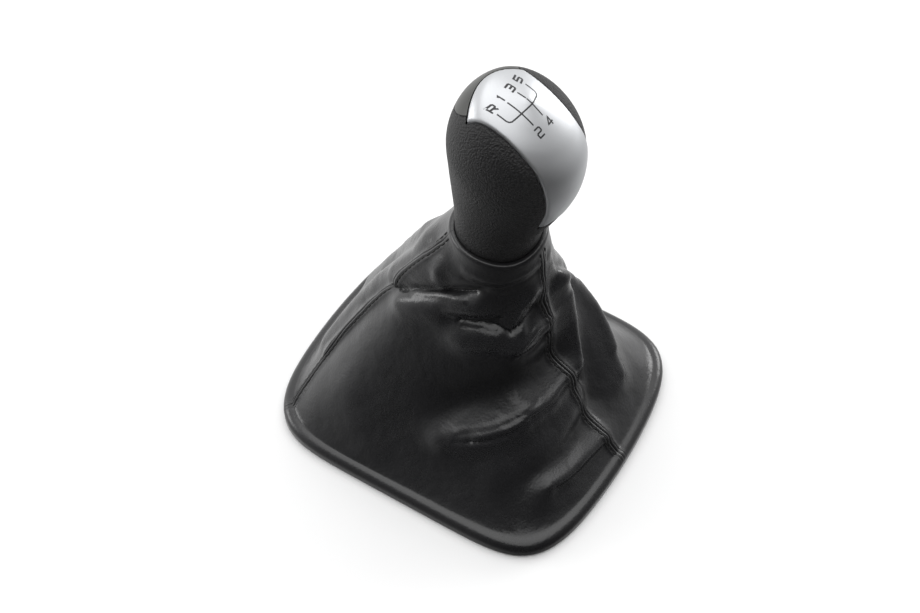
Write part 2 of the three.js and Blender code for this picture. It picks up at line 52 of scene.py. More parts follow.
# Sizes that the solids were made with, in millimetres
BASE_HALF_WIDTH = 68
BASE_HALF_LENGTH = 70
BASE_END_BULGE = 8
BULGE_POWER = 3
REAR_SQUARENESS = 6.5
FRONT_SQUARENESS = 6
LEATHER = 1.2
CLEARANCE = 0.3
HEM_UNDER_FRAME = 11
HEM_IN_COLLAR = 30
FRAME_HEIGHT = 5
EDGE_ROLL = 3.2
COLLAR_Y = -10
COLLAR_TOP = 124
NECK_RADIUS = 17.2
NECK_BOTTOM = 91
KNOB_TOP = 199.2
HEAD_HALF_WIDTH = 25
SKIN = 2.6
CAP_GAP = 0.3
COLLAR_EASE = 0.6
HEM_RADIUS = NECK_RADIUS + CLEARANCE + LEATHER / 2
COLLAR_RADIUS = HEM_RADIUS + LEATHER + CLEARANCE + COLLAR_EASE
LEATHER_BOTTOM = LEATHER / 2
LEATHER_TOP = LEATHER + FRAME_HEIGHT + 2 * CLEARANCE + LEATHER / 2
CONE_LENGTH = 135
FRONT_SEAM_ANGLE = math.radians(49)
FRONT_SEAM_BOW = math.radians(14)

# How steeply the leather falls from the collar, and how much less towards the front and one side
FALL_POWER = 1.9
FALL_TO_FRONT = 0.62
FALL_TO_SIDE = 0.3
FULLEST_ANGLE = math.radians(70)
NECK_POWER = 10

# How fast folds fade out at the ends of the leather, and the share of their height that goes upwards
FOLD_FADE = 8
SWELL_UP = 0.4

# Where the soft collar sags, how the leather first lies flat on the frame, and how tight the collar is
COLLAR_SAG = 2.4
COLLAR_SAG_DEGREES = (228, 36)
SAG_POWER = 8
RIM_REST = 0.012
REST_POWER = 4
TIGHT_GAP = 0.15
RIM_GAP = 0.05
TIGHT_RADIUS = NECK_RADIUS + TIGHT_GAP + LEATHER / 2
RIM_RADIUS = TIGHT_RADIUS + LEATHER + RIM_GAP

# Rows of the leather: insets of the hem under the frame, turns of its bends in degrees, the frame's side,
# and depths in the collar
HEM_INSETS = (HEM_UNDER_FRAME, 8, 5, 2.4, LEATHER)
HEM_TURNS = (30, 60, 90)
SIDE_START = 1.8
SIDE_ROWS = 4
ROLL_TURNS = (18, 36, 54, 72)
COLLAR_TURNS = (22, 44, 66, 88)
COLLAR_DEPTHS = (0, 4, 12, HEM_IN_COLLAR - COLLAR_SAG)
CONE_ROWS = 150
WIDE_COLUMNS = 150
FRONT_COLUMNS = 90
ANGLE_STEP = 0.004

# Columns beside a seam, as distances from it, and where the even columns start
NEAR_SEAM = np.array([0.06, 0.3, 0.55, 0.85, 1.1, 1.35, 1.6, 1.85, 2.1, 2.4, 2.9, 3.6, 4.8, 6.5])
EVEN_FROM = 8.2

# Raised band along a seam: its half width, the groove of the stitches, the valley on the seam, and how the
# band grows from the base and fades at the collar
BAND_WIDTH = 2.6
BAND_POWER = 4
STITCH_OFFSET = 1.65
GROOVE_DEPTH = 0.55
GROOVE_WIDTH = 0.38
VALLEY_DEPTH = 0.6
VALLEY_WIDTH = 0.35
RISE_AT_EDGE = 0.5
RISE_GROWTH = 20
RISE_FADE = 12

# Painted shade in the stitch grooves and the seam's valley, wear on what stands up with painted shade in
# creases and hollows, and ripples of the hide as (height, scale)
GROOVE_SHADE_WIDTH = 0.55
SEAM_WEAR_AND_SHADE = 1.2
WEAR_AND_SHADE_MIDDLE = 0.5
WEAR_AND_SHADE_GAIN = 0.16
RIPPLES = ((0.22, 0.09), (0.1, 0.3))
PANEL_SHARP = 50

# Rows of a line of stitches, the share of the way up that it covers, and its lift off the leather
SEAM_ROWS = 140
SEAM_ENDS = (0.008, 0.985)
THREAD_LIFT = 0.1

# Start of a search for the nearest, and the least length that is divided by
FAR = 1e9
TINY = 1e-9

# Folds that the solids have: height, half width, and (degrees round the collar, share of the way up) points
FOLDS = [
    [1.8, 6, [[111, 0.62], [128, 0.78], [145, 0.895]]],
    [-1.8, 4, [[116, 0.61], [133, 0.72], [158, 0.8], [192, 0.87]]],
    [2.4, 7, [[133, 0.64], [157, 0.73], [191, 0.77]]],
    [-1.7, 5, [[169, 0.7], [195, 0.715], [212, 0.71], [224, 0.68], [241, 0.7], [261, 0.725]]],
    [-1, 7, [[214, 0.75], [219, 0.83], [229, 0.9]]],
    [2.8, 8, [[186, 0.62], [211, 0.645], [226, 0.63]]],
    [1.6, 5, [[227, 0.7], [235, 0.775], [252, 0.815]]],
    [1.6, 5, [[233, 0.595], [252, 0.625], [267, 0.61]]],
    [3, 7, [[267, 0.34], [249, 0.33], [233, 0.34], [218, 0.3], [203, 0.25], [190, 0.22]]],
    [-3, 10, [[266, 0.44], [244, 0.44], [226, 0.46], [210, 0.41], [191, 0.35]]],
    [2.6, 6, [[269, 0.07], [258, 0.085], [246, 0.09], [234, 0.105]]],
    [-1.8, 7, [[266, 0.15], [248, 0.14], [232, 0.15]]],
    [1.6, 7, [[267, 0.23], [247, 0.2], [230, 0.2], [218, 0.18]]],
    [3, 6, [[300, 0.7], [296, 0.495], [289, 0.395], [280, 0.33]]],
    [-2.6, 7, [[322, 0.5], [305, 0.355], [292, 0.27], [280, 0.18]]],
    [3, 7, [[332, 0.45], [312, 0.27], [303, 0.2], [297, 0.13]]],
    [1.6, 6, [[298, 0.93], [318, 0.75], [326, 0.6]]],
    [5.5, 20, [[342, 0.62], [340, 0.36]]],
    [2.4, 8, [[108, 0.85], [98, 0.6], [100, 0.35], [112, 0.15]]],
    [-2, 7, [[97, 0.75], [86, 0.45], [92, 0.2]]],
    [2.4, 8, [[82, 0.75], [72, 0.45], [76, 0.18]]],
    [1, 9, [[143, 0.22], [152, 0.13], [161, 0.06]]],
    [2, 8, [[20, 0.75], [14, 0.4]]],
    [-2, 8, [[36, 0.7], [30, 0.35]]],
]

# Finer creases, too narrow for the solids
CREASES = [
    [-1.3, 1.5, [[118, 0.62], [134, 0.725], [158, 0.805], [186, 0.85]]],
    [0.9, 1.6, [[130, 0.7], [150, 0.765], [176, 0.8]]],
    [-1.2, 1.3, [[176, 0.7], [196, 0.71], [213, 0.7], [225, 0.675]]],
    [-1.0, 1.5, [[225, 0.675], [240, 0.695], [258, 0.72]]],
    [0.8, 1.3, [[228, 0.71], [236, 0.78], [250, 0.815]]],
    [0.8, 1.4, [[235, 0.61], [252, 0.64], [266, 0.63]]],
    [-0.5, 1.0, [[182, 0.735], [200, 0.745], [214, 0.735]]],
    [-0.4, 0.9, [[180, 0.68], [198, 0.688], [212, 0.68]]],
    [0.9, 1.6, [[265, 0.345], [249, 0.335], [234, 0.345], [219, 0.31], [206, 0.27]]],
    [-0.6, 1.1, [[262, 0.325], [247, 0.315], [233, 0.325], [218, 0.29], [203, 0.245]]],
    [-0.35, 0.8, [[240, 0.355], [226, 0.34], [212, 0.3], [198, 0.262]]],
    [0.35, 0.8, [[232, 0.362], [220, 0.335], [207, 0.292], [194, 0.258]]],
    [-0.35, 0.8, [[226, 0.3], [212, 0.262], [196, 0.23]]],
    [0.3, 0.8, [[221, 0.275], [209, 0.245], [191, 0.205]]],
    [0.8, 1.5, [[268, 0.08], [257, 0.095], [246, 0.1], [236, 0.112]]],
    [-0.6, 1.2, [[268, 0.06], [257, 0.07], [247, 0.078], [238, 0.092]]],
    [0.8, 1.8, [[280, 0.34], [288, 0.4], [295, 0.5], [299, 0.62]]],
    [-0.7, 1.4, [[276, 0.33], [274, 0.27], [272, 0.22]]],
    [0.6, 1.3, [[279, 0.31], [277, 0.24], [275, 0.18]]],
    [0.9, 2.0, [[298, 0.14], [304, 0.21], [313, 0.28], [330, 0.42]]],
    [0.7, 2.2, [[172, 0.94], [215, 0.93], [260, 0.95]]],
    [-0.5, 1.6, [[172, 0.9], [215, 0.893], [262, 0.915]]],
    [1.0, 2.6, [[139, 0.97], [142, 0.89], [148, 0.81]]],
    [0.8, 2.4, [[284, 0.97], [292, 0.86], [300, 0.76]]],
    [-0.7, 2.0, [[276, 0.95], [281, 0.84], [284, 0.74]]],
    [1.5, 3.2, [[269, 0.075], [258, 0.09], [246, 0.095], [236, 0.112]]],
    [-1.3, 3.0, [[268, 0.045], [257, 0.055], [247, 0.06], [239, 0.07]]],
    [1.1, 3.2, [[299, 0.74], [295, 0.5], [288, 0.4], [281, 0.345]]],
    [-1.2, 2.4, [[312, 0.62], [303, 0.44], [293, 0.33], [282, 0.25]]],
    [1.4, 2.6, [[333, 0.5], [316, 0.31], [306, 0.22]]],
    [1.1, 2.4, [[283, 0.9], [290, 0.8], [304, 0.7]]],
    [-1.0, 2.2, [[290, 0.9], [300, 0.78], [312, 0.7]]],
    [1.2, 3.0, [[130, 0.93], [121, 0.7], [117, 0.45], [120, 0.2]]],
    [-1.0, 3.0, [[122, 0.9], [113, 0.65], [108, 0.4]]],
    [0.9, 2.2, [[262, 0.6], [247, 0.575], [232, 0.585]]],
    [-0.8, 2.0, [[264, 0.56], [248, 0.54], [234, 0.55]]],
    [0.7, 1.8, [[250, 0.78], [240, 0.72], [236, 0.66]]],
]

# Seams: angle round the collar, and how far they bow to one side half way up, in radians
REAR_SEAM = (-math.pi / 2, 0.0)
REAR_SEAM_AGAIN = (1.5 * math.pi, 0.0)
FRONT_RIGHT_SEAM = (FRONT_SEAM_ANGLE, FRONT_SEAM_BOW)
FRONT_LEFT_SEAM = (math.pi - FRONT_SEAM_ANGLE, -FRONT_SEAM_BOW)


# Leather surface

def base_outline(angle, inset):
    """Points of the base outline at an array of angles, moved inwards."""
    width = BASE_HALF_WIDTH - inset
    length = BASE_HALF_LENGTH - inset
    c, s = np.cos(angle), np.sin(angle)
    power = np.where(s > 0, FRONT_SQUARENESS, REAR_SQUARENESS)
    reach = (np.abs(c / width) ** power + np.abs(s / length) ** power) ** (-1 / power)
    x, y = reach * c, reach * s
    end_share = np.minimum(1, np.abs(y) / length) ** BULGE_POWER
    return x, y + np.sign(s) * BASE_END_BULGE * end_share * (1 - (x / width) ** 2)


def fold_height(degrees, share, reach):
    """How far the folds and creases lift the leather at each point."""
    height = np.zeros_like(degrees)
    for amount, width, line in FOLDS + CREASES:
        nearest = np.full_like(degrees, FAR)
        middle = (line[0][0] + line[-1][0]) / 2
        turn = np.mod(middle - degrees + 180, 360) - 180 - middle
        points = []
        for line_degrees, line_share in line:
            around = np.radians(line_degrees + turn) * reach
            points.append((around, (line_share - share) * CONE_LENGTH))
        for (ax, ay), (bx, by) in zip(points, points[1:]):
            dx, dy = bx - ax, by - ay
            along = np.clip(-(ax * dx + ay * dy) / np.maximum(dx * dx + dy * dy, TINY), 0, 1)
            nearest = np.minimum(nearest, np.hypot(ax + along * dx, ay + along * dy))
        height += amount * np.exp(-((nearest / width) ** 2))
    return height * np.minimum(1, FOLD_FADE * share * (1 - share))


def collar_sag(angle):
    """How far the collar's rim hangs lower at an angle."""
    middle, width = COLLAR_SAG_DEGREES
    around = np.mod(np.degrees(angle) - middle + 180, 360) - 180
    return COLLAR_SAG * np.exp(-((around / width) ** 2))


def cone_row(share):
    """A row of the leather's middle layer on the cone, as a function of angle."""
    def at(angle):
        rim_x, rim_y = base_outline(angle, EDGE_ROLL + LEATHER / 2)
        power = FALL_POWER - FALL_TO_FRONT * np.sin(angle) - FALL_TO_SIDE * np.cos(angle - FULLEST_ANGLE)
        fall = (1 - share) ** power
        radius = COLLAR_RADIUS - (COLLAR_RADIUS - RIM_RADIUS) * share**NECK_POWER
        x = radius * np.cos(angle)
        y = COLLAR_Y + radius * np.sin(angle)
        x, y = x + (rim_x - x) * fall, y + (rim_y - y) * fall
        swell = fold_height(np.degrees(angle), np.full_like(angle, share), np.hypot(x, y - COLLAR_Y))
        rest = RIM_REST * (1 - math.exp(-share / RIM_REST)) * (1 - share) ** REST_POWER
        z = LEATHER_TOP + (COLLAR_TOP - LEATHER_TOP) * (share - rest) + SWELL_UP * swell
        z -= share**SAG_POWER * collar_sag(angle)
        return np.stack([x + swell * np.cos(angle), y + swell * np.sin(angle), z], -1)

    return at


def hem_row(inset, height):
    """A row of the hem round the frame, as a function of angle."""
    def at(angle):
        x, y = base_outline(angle, inset)
        return np.stack([x, y, np.full_like(angle, height)], -1)

    return at


def collar_row(radius, height):
    """A row of the hem turned down into the collar, as a function of angle."""
    def at(angle):
        x, y = radius * np.cos(angle), COLLAR_Y + radius * np.sin(angle)
        return np.stack([x, y, height - collar_sag(angle)], -1)

    return at


def leather_rows(cone_rows):
    """Rows of the leather: share of the way up, how far the seam stands up, and a function of angle."""
    rows = [(0, 0, hem_row(inset, LEATHER_BOTTOM)) for inset in HEM_INSETS]
    for turn in HEM_TURNS:
        bend = math.radians(turn)
        inset = LEATHER - LEATHER / 2 * math.sin(bend)
        rows.append((0, 0, hem_row(inset, LEATHER_BOTTOM + LEATHER / 2 * (1 - math.cos(bend)))))
    top = LEATHER_TOP - EDGE_ROLL
    for height in np.linspace(SIDE_START, top, SIDE_ROWS):
        rows.append((0, 0, hem_row(LEATHER / 2, height)))
    for turn in ROLL_TURNS:
        bend = math.radians(turn)
        inset = LEATHER / 2 + EDGE_ROLL * (1 - math.cos(bend))
        rows.append((0, turn / 180, hem_row(inset, top + EDGE_ROLL * math.sin(bend))))
    for share in np.linspace(0, 1, cone_rows):
        rise = min(1, RISE_AT_EDGE + RISE_GROWTH * share, RISE_FADE * (1 - share))
        rows.append((share, rise, cone_row(share)))
    for turn in COLLAR_TURNS:
        bend = math.radians(turn)
        radius = TIGHT_RADIUS + (RIM_RADIUS - TIGHT_RADIUS) * math.cos(bend)
        rows.append((1, 0, collar_row(radius, COLLAR_TOP + LEATHER * math.sin(bend))))
    for down in COLLAR_DEPTHS:
        rows.append((1, 0, collar_row(TIGHT_RADIUS, COLLAR_TOP - down)))
    return rows


def row_normals(rows, j, angle):
    """Unit normals of the leather at an array of angles on one row."""
    at = rows[j][2]
    along_row = at(angle + ANGLE_STEP) - at(angle - ANGLE_STEP)
    above = rows[min(j + 1, len(rows) - 1)][2](angle)
    below = rows[max(j - 1, 0)][2](angle)
    normal = np.cross(along_row, above - below)
    return normal / np.maximum(np.linalg.norm(normal, axis=1, keepdims=True), TINY)


def seam_angle(seam, share):
    return seam[0] + seam[1] * math.sin(math.pi * share)


def seam_height(distance, rise):
    """Height of the leather beside a seam: a valley on the line and a raised band with the stitches."""
    band = rise * np.exp(-((distance / BAND_WIDTH) ** BAND_POWER))
    dip = GROOVE_DEPTH * rise * np.exp(-(((distance - STITCH_OFFSET) / GROOVE_WIDTH) ** 2))
    valley = VALLEY_DEPTH * rise * np.exp(-((distance / VALLEY_WIDTH) ** 2))
    return band - dip - valley


def leather_grid(rows, start, end, columns, seam_rise):
    """Middle points, normals, lifts and painted shade of the stitch grooves of one panel, as arrays by row
    and column.
    """
    points, normals, lifts, groove_shades = [], [], [], []
    for j, (share, rise, at) in enumerate(rows):
        first, last = seam_angle(start, share), seam_angle(end, share)
        ends = at(np.array([first, last]))
        reach = np.hypot(ends[:, 0], ends[:, 1] - COLLAR_Y)
        middle = np.linspace(first + EVEN_FROM / reach[0], last - EVEN_FROM / reach[1], columns)
        angle = np.concatenate([first + NEAR_SEAM / reach[0], middle, (last - NEAR_SEAM / reach[1])[::-1]])
        distance = np.minimum((angle - first) * reach[0], (last - angle) * reach[1])
        points.append(at(angle))
        normals.append(row_normals(rows, j, angle))
        ripple = [sum(h * noise.noise(Vector(p) * scale) for h, scale in RIPPLES) for p in points[-1]]
        lifts.append(rise * seam_height(distance, seam_rise) + rise * np.array(ripple))
        # Painted shade along the stitch lines and in the seam's valley
        beside = np.minimum(np.abs(distance - STITCH_OFFSET), distance)
        groove_shades.append(rise * np.exp(-((beside / GROOVE_SHADE_WIDTH) ** 2)))
    return np.array(points), np.array(normals), np.array(lifts), np.array(groove_shades)


def plain_solid(name, vertices, faces, edges=()):
    """A mesh object at the origin, from points in millimetres."""
    mesh = bpy.data.meshes.new(name)
    mesh.from_pydata([tuple(p) for p in np.asarray(vertices) * MM], edges, faces)
    solid = bpy.data.objects.new(name, mesh)
    bpy.context.collection.objects.link(solid)
    return solid


def smooth_mesh(name, vertices, faces, material, sharp=30):
    """A smooth mesh object with a look, and with edges left sharp above an angle in degrees."""
    piece = plain_solid(name, vertices, faces)
    piece.data.validate()
    piece.data.shade_smooth()
    piece.data.set_sharp_from_angle(angle=math.radians(sharp))
    piece.data.materials.append(material)
    return piece


def leather_panel(name, start, end, columns, leather, material):
    """One panel of leather as a closed sheet with its wear and painted shade as attributes, and the size of
    its blank.
    """
    points, normals, lifts, groove_shades = leather_grid(
        leather_rows(CONE_ROWS), start, end, columns, leather.seam_rise / MM
    )
    rows, count = lifts.shape
    outer = points + normals * (lifts + LEATHER / 2)[..., None]
    inner = points + normals * (lifts - LEATHER / 2)[..., None]
    vertices = np.concatenate([outer.reshape(-1, 3), inner.reshape(-1, 3)])
    size = rows * count
    faces = []
    for j in range(rows - 1):
        for i in range(count - 1):
            a = j * count + i
            b, c, d = a + 1, a + count + 1, a + count
            faces.append((a, b, c, d))
            faces.append((size + a, size + d, size + c, size + b))
    for i in range(count - 1):
        top = (rows - 1) * count + i
        faces.append((i, size + i, size + i + 1, i + 1))
        faces.append((top, top + 1, size + top + 1, size + top))
    for j in range(rows - 1):
        left, right = j * count, j * count + count - 1
        faces.append((left, left + count, size + left + count, size + left))
        faces.append((right, size + right, size + right + count, right + count))
    piece = smooth_mesh(name, vertices, faces, material, PANEL_SHARP)
    degrees = np.degrees(np.arctan2(points[..., 1] - COLLAR_Y, points[..., 0]))
    reach = np.hypot(points[..., 0], points[..., 1] - COLLAR_Y)
    share = np.clip((points[..., 2] - LEATHER_TOP) / (COLLAR_TOP - LEATHER_TOP), 0, 1)
    # Lighter on folds and bands that stand up, for wear, and darker in creases and seam grooves, as painted
    # shade
    wear_and_shade = fold_height(degrees, share, reach) + SEAM_WEAR_AND_SHADE * lifts
    for key, values in (("wear_and_shade", np.clip(WEAR_AND_SHADE_MIDDLE + WEAR_AND_SHADE_GAIN * wear_and_shade, 0, 1)), ("groove_shade", groove_shades)):
        attribute = piece.data.attributes.new(key, "FLOAT", "POINT")
        attribute.data.foreach_set("value", np.tile(values.ravel(), 2))
    widest = np.linalg.norm(np.diff(points, axis=1), axis=2).sum(1).max() * MM
    longest = np.linalg.norm(np.diff(points, axis=0), axis=2).sum(0).max() * MM
    return piece, (float(widest), float(longest))


# Knob surface

def head_level(share):
    return COLLAR_TOP + (KNOB_TOP - COLLAR_TOP) * share


# Sections of the knob: height, place of the middle, half width, half length, and lean in degrees
W = HEAD_HALF_WIDTH
HEAD_SECTIONS = np.array([
    [NECK_BOTTOM, 0, NECK_RADIUS, NECK_RADIUS, 0],
    [NECK_BOTTOM + 0.6 * (COLLAR_TOP - NECK_BOTTOM), 0, NECK_RADIUS, NECK_RADIUS, 0],
    [COLLAR_TOP, 0, NECK_RADIUS, NECK_RADIUS, 0],
    [head_level(0.158), -1.1, NECK_RADIUS + 0.7, NECK_RADIUS + 1.4, 3],
    [head_level(0.315), -3.2, 0.812 * W, 0.872 * W, 8],
    [head_level(0.473), -4.8, 0.92 * W, 0.988 * W, 14],
    [head_level(0.618), -6, W, 1.076 * W, 19],
    [head_level(0.75), -8.1, 0.976 * W, 1.052 * W, 23],
    [head_level(0.855), -10.2, 0.864 * W, 0.932 * W, 26],
    [head_level(0.928), -10.4, 0.664 * W, 0.716 * W, 28],
    [head_level(0.971), -10.4, 0.36 * W, 0.388 * W, 28],
    [KNOB_TOP, -10.4, 0.048 * W, 0.052 * W, 28],
])
LEAST_SHRINK = 0.3
LOWERED_FROM = 0.6


def section_at(position):
    """The knob's section at a place between its sections, on the same curve as the solids."""
    last = len(HEAD_SECTIONS) - 1
    at = min(int(position), last - 1)
    t = position - at
    p0, p1 = HEAD_SECTIONS[max(at - 1, 0)], HEAD_SECTIONS[at]
    p2, p3 = HEAD_SECTIONS[at + 1], HEAD_SECTIONS[min(at + 2, last)]
    v0, v1 = (p2 - p0) / 2, (p3 - p1) / 2
    return (2 * p1 - 2 * p2 + v0 + v1) * t**3 + (-3 * p1 + 3 * p2 - 2 * v0 - v1) * t**2 + v0 * t + p1


def smoothstep(value, low, high):
    share = min(1, max(0, (value - low) / (high - low)))
    return share * share * (3 - 2 * share)


def knob_loft(inset, ring_steps, rows_each):
    """Points and faces of the knob's surface, or of one inside it."""
    vertices, faces = [], []
    rows = rows_each * (len(HEAD_SECTIONS) - 1)
    angle = np.arange(ring_steps) / ring_steps * 2 * math.pi
    for row in range(rows + 1):
        z, y, half_width, half_length, lean = section_at(row / rows_each)
        shrink = max(LEAST_SHRINK, 1 - inset / half_width)
        lowered = inset * smoothstep(z, head_level(LOWERED_FROM), KNOB_TOP)
        tilt = math.radians(lean)
        along = half_length * shrink * np.sin(angle)
        x = half_width * shrink * np.cos(angle)
        ring_y = COLLAR_Y + y + along * math.cos(tilt) + lowered * math.sin(tilt)
        ring_z = z + along * math.sin(tilt) - lowered * math.cos(tilt)
        vertices.extend(np.stack([x, ring_y, ring_z], -1))
    for row in range(rows):
        for i in range(ring_steps):
            a = row * ring_steps + i
            b = row * ring_steps + (i + 1) % ring_steps
            faces.append((a, b, b + ring_steps, a + ring_steps))
    faces.append(tuple(range(ring_steps))[::-1])
    faces.append(tuple(range(rows * ring_steps, (rows + 1) * ring_steps)))
    return np.array(vertices), faces


# The cap's outline, seen square on: its plane, its sizes, and the handles of its curves beside the tail's
# corner and the widest place
CAP_TILT = math.radians(57)
CAP_CENTRE = np.array([0, COLLAR_Y - 6, head_level(0.638)])
CAP_ACROSS = np.array([1.0, 0, 0])
CAP_FORWARD = np.array([0, math.cos(CAP_TILT), math.sin(CAP_TILT)])
CAP_OUT = np.array([0, -math.sin(CAP_TILT), math.cos(CAP_TILT)])
CAP_HALF_WIDTH = 0.564 * W
CAP_TAIL_HALF_WIDTH = 0.384 * W
CAP_SHIFT = -0.07 * W
CAP_TAIL = -0.379 * (KNOB_TOP - COLLAR_TOP)
CAP_BEYOND = 45
CAP_STEPS = 14
CAP_DEPTH_STEPS = 8
TAIL_CORNER = ((-1.5, 0), (0.2, 0), (0.6, 1.6))
SIDE_HANDLES = ((-1, 0.6), (0.3, 0.2))
FRONT_HANDLE = 0.4

# The cap's front edge, seen from above: its middle, and how it bends back on the left and the right
FRONT_EDGE_X = -4
FRONT_EDGE_Y = 8.1
FRONT_EDGE_LEFT = 0.019
FRONT_EDGE_RIGHT = 0.034
SLOPE_STEP = 0.1

# The solid that cuts the cap out
CUTTER_OUT = (-12, 60)
CUTTER_HALF_WIDTH = 30
CUTTER_COLUMNS = 61
CUTTER_BACK = -100
CUTTER_HEADROOM = 50

# The plane between the grip and the front shell
PARTING_Y = 7
PARTING_TOP_SHARE = 0.938
PARTING_FALL = 0.69

# Looking for the knob below a mark of the pattern: start of the ray, and steps back where it misses
RAY_START = 60
BACK_STEP = 0.1
BACK_STEPS = 100

# How near to the knob's outer surface a point of the cap counts as lying on it
ON_SURFACE = 0.05


def curve_points(controls, count):
    """Points of a line, quadratic or cubic curve, without its last."""
    t = np.arange(count)[:, None] / count
    p = [np.array(c, float) for c in controls]
    while len(p) > 1:
        p = [a + (b - a) * t for a, b in zip(p, p[1:])]
    return p[0]


def cap_outline(grow, steps):
    """The cap's outline seen square on, left open towards the front: x across, y forward."""
    wide, tail, end = CAP_HALF_WIDTH + grow, CAP_TAIL_HALF_WIDTH + grow, CAP_TAIL - grow
    before, corner, after = [(tail + u, end + v) for u, v in TAIL_CORNER]
    side = [(wide + u, share * end) for u, share in SIDE_HANDLES]
    half = [
        curve_points([(0, end), before], steps // 2),
        curve_points([before, corner, after], steps // 2),
        curve_points([after, *side, (wide, 0)], 3 * steps),
        curve_points([(wide, 0), (wide + FRONT_HANDLE, CAP_BEYOND / 3), (wide, CAP_BEYOND)], 2 * steps),
    ]
    right = np.concatenate(half + [[[wide, CAP_BEYOND]]])
    left = right[1:][::-1] * [-1, 1]
    return np.concatenate([right, left]) + [CAP_SHIFT, 0]


def cap_front(x):
    """Place of the cap's front edge along the knob, seen from above, at places across it."""
    from_middle = x - FRONT_EDGE_X
    bend = np.where(from_middle > 0, FRONT_EDGE_RIGHT, FRONT_EDGE_LEFT)
    return COLLAR_Y + FRONT_EDGE_Y - bend * from_middle**2


def prism(name, corners):
    """A prism from two equal rings of corners, the first below the second."""
    count = len(corners) // 2
    faces = [(i, (i + 1) % count, count + (i + 1) % count, count + i) for i in range(count)]
    faces += [tuple(range(count))[::-1], tuple(range(count, 2 * count))]
    return plain_solid(name, corners, faces)


def cap_place(across, forward, out):
    return CAP_CENTRE + across * CAP_ACROSS + forward * CAP_FORWARD + out * CAP_OUT


def cap_cutter(grow):
    """A solid that holds the cap and the space over it."""
    outline = cap_outline(grow, CAP_STEPS)
    cutter = prism("cap_cutter", [cap_place(u, v, out) for out in CUTTER_OUT for u, v in outline])
    x = np.linspace(-CUTTER_HALF_WIDTH, CUTTER_HALF_WIDTH, CUTTER_COLUMNS)
    front = list(zip(x, cap_front(x) + grow))
    ring = [(-CUTTER_HALF_WIDTH, CUTTER_BACK), (CUTTER_HALF_WIDTH, CUTTER_BACK)] + front[::-1]
    levels = (COLLAR_TOP, KNOB_TOP + CUTTER_HEADROOM)
    above = prism("cap_above", [(a, b, z) for z in levels for a, b in ring])
    boolean(cutter, above, "INTERSECT")
    remove(above)
    return cutter


def cap_depth(points):
    """How far inside the cap's edge each point lies, in millimetres."""
    across = (points - CAP_CENTRE) @ CAP_ACROSS
    forward = (points - CAP_CENTRE) @ CAP_FORWARD
    ring = cap_outline(0, CAP_DEPTH_STEPS)
    depth = np.full(len(points), FAR)
    for (ax, ay), (bx, by) in zip(ring, np.roll(ring, -1, axis=0)):
        dx, dy = bx - ax, by - ay
        along = ((across - ax) * dx + (forward - ay) * dy) / max(dx * dx + dy * dy, TINY)
        along = np.clip(along, 0, 1)
        depth = np.minimum(depth, np.hypot(ax + along * dx - across, ay + along * dy - forward))
    front = cap_front(points[:, 0])
    slope = (cap_front(points[:, 0] + SLOPE_STEP) - front) / SLOPE_STEP
    return np.minimum(depth, np.abs(front - points[:, 1]) / np.sqrt(1 + slope**2))


def surface_tree(vertices, faces):
    """A surface in millimetres, to find its nearest point or to cast rays at."""
    return BVHTree.FromPolygons([tuple(v) for v in vertices], faces)


def surface_point(tree, across, forward, lift):
    """A point of the knob below a place on the cap, or beside it where the head curves away."""
    for step in range(BACK_STEPS):
        short = BACK_STEP * step
        start = Vector(cap_place(across, forward - short, RAY_START))
        hit, normal, _, _ = tree.ray_cast(start, Vector(-CAP_OUT))
        if hit is not None:
            break
    else:
        raise RuntimeError(f"nothing of the knob lies under {across:.1f}, {forward:.1f}")
    if step:
        hit, normal, _, _ = tree.find_nearest(hit + Vector(CAP_FORWARD - CAP_OUT) * short)
    return np.array(hit + normal * lift)


def apply_modifiers(piece):
    graph = bpy.context.evaluated_depsgraph_get()
    mesh = bpy.data.meshes.new_from_object(piece.evaluated_get(graph))
    piece.modifiers.clear()
    old = piece.data
    piece.data = mesh
    bpy.data.meshes.remove(old)


def boolean(piece, tool, operation):
    modifier = piece.modifiers.new(operation, "BOOLEAN")
    modifier.operation = operation
    modifier.solver = "EXACT"
    modifier.object = tool
    apply_modifiers(piece)


def remove(*pieces):
    for piece in pieces:
        bpy.data.objects.remove(piece, do_unlink=True)


# Materials

class Value:
    """A shader socket that Python's operators can join with others."""

    def __init__(self, shader, socket):
        self.shader = shader
        self.socket = socket

    def join(self, operation, *others):
        return self.shader.node("ShaderNodeMath", {"operation": operation}, *others)

    def __add__(self, other):
        return self.join("ADD", self, other)

    def __radd__(self, other):
        return self.join("ADD", other, self)

    def __sub__(self, other):
        return self.join("SUBTRACT", self, other)

    def __rsub__(self, other):
        return self.join("SUBTRACT", other, self)

    def __mul__(self, other):
        return self.join("MULTIPLY", self, other)

    def clamped(self):
        return self.shader.node("ShaderNodeClamp", {}, self, 0.0, 1.0)


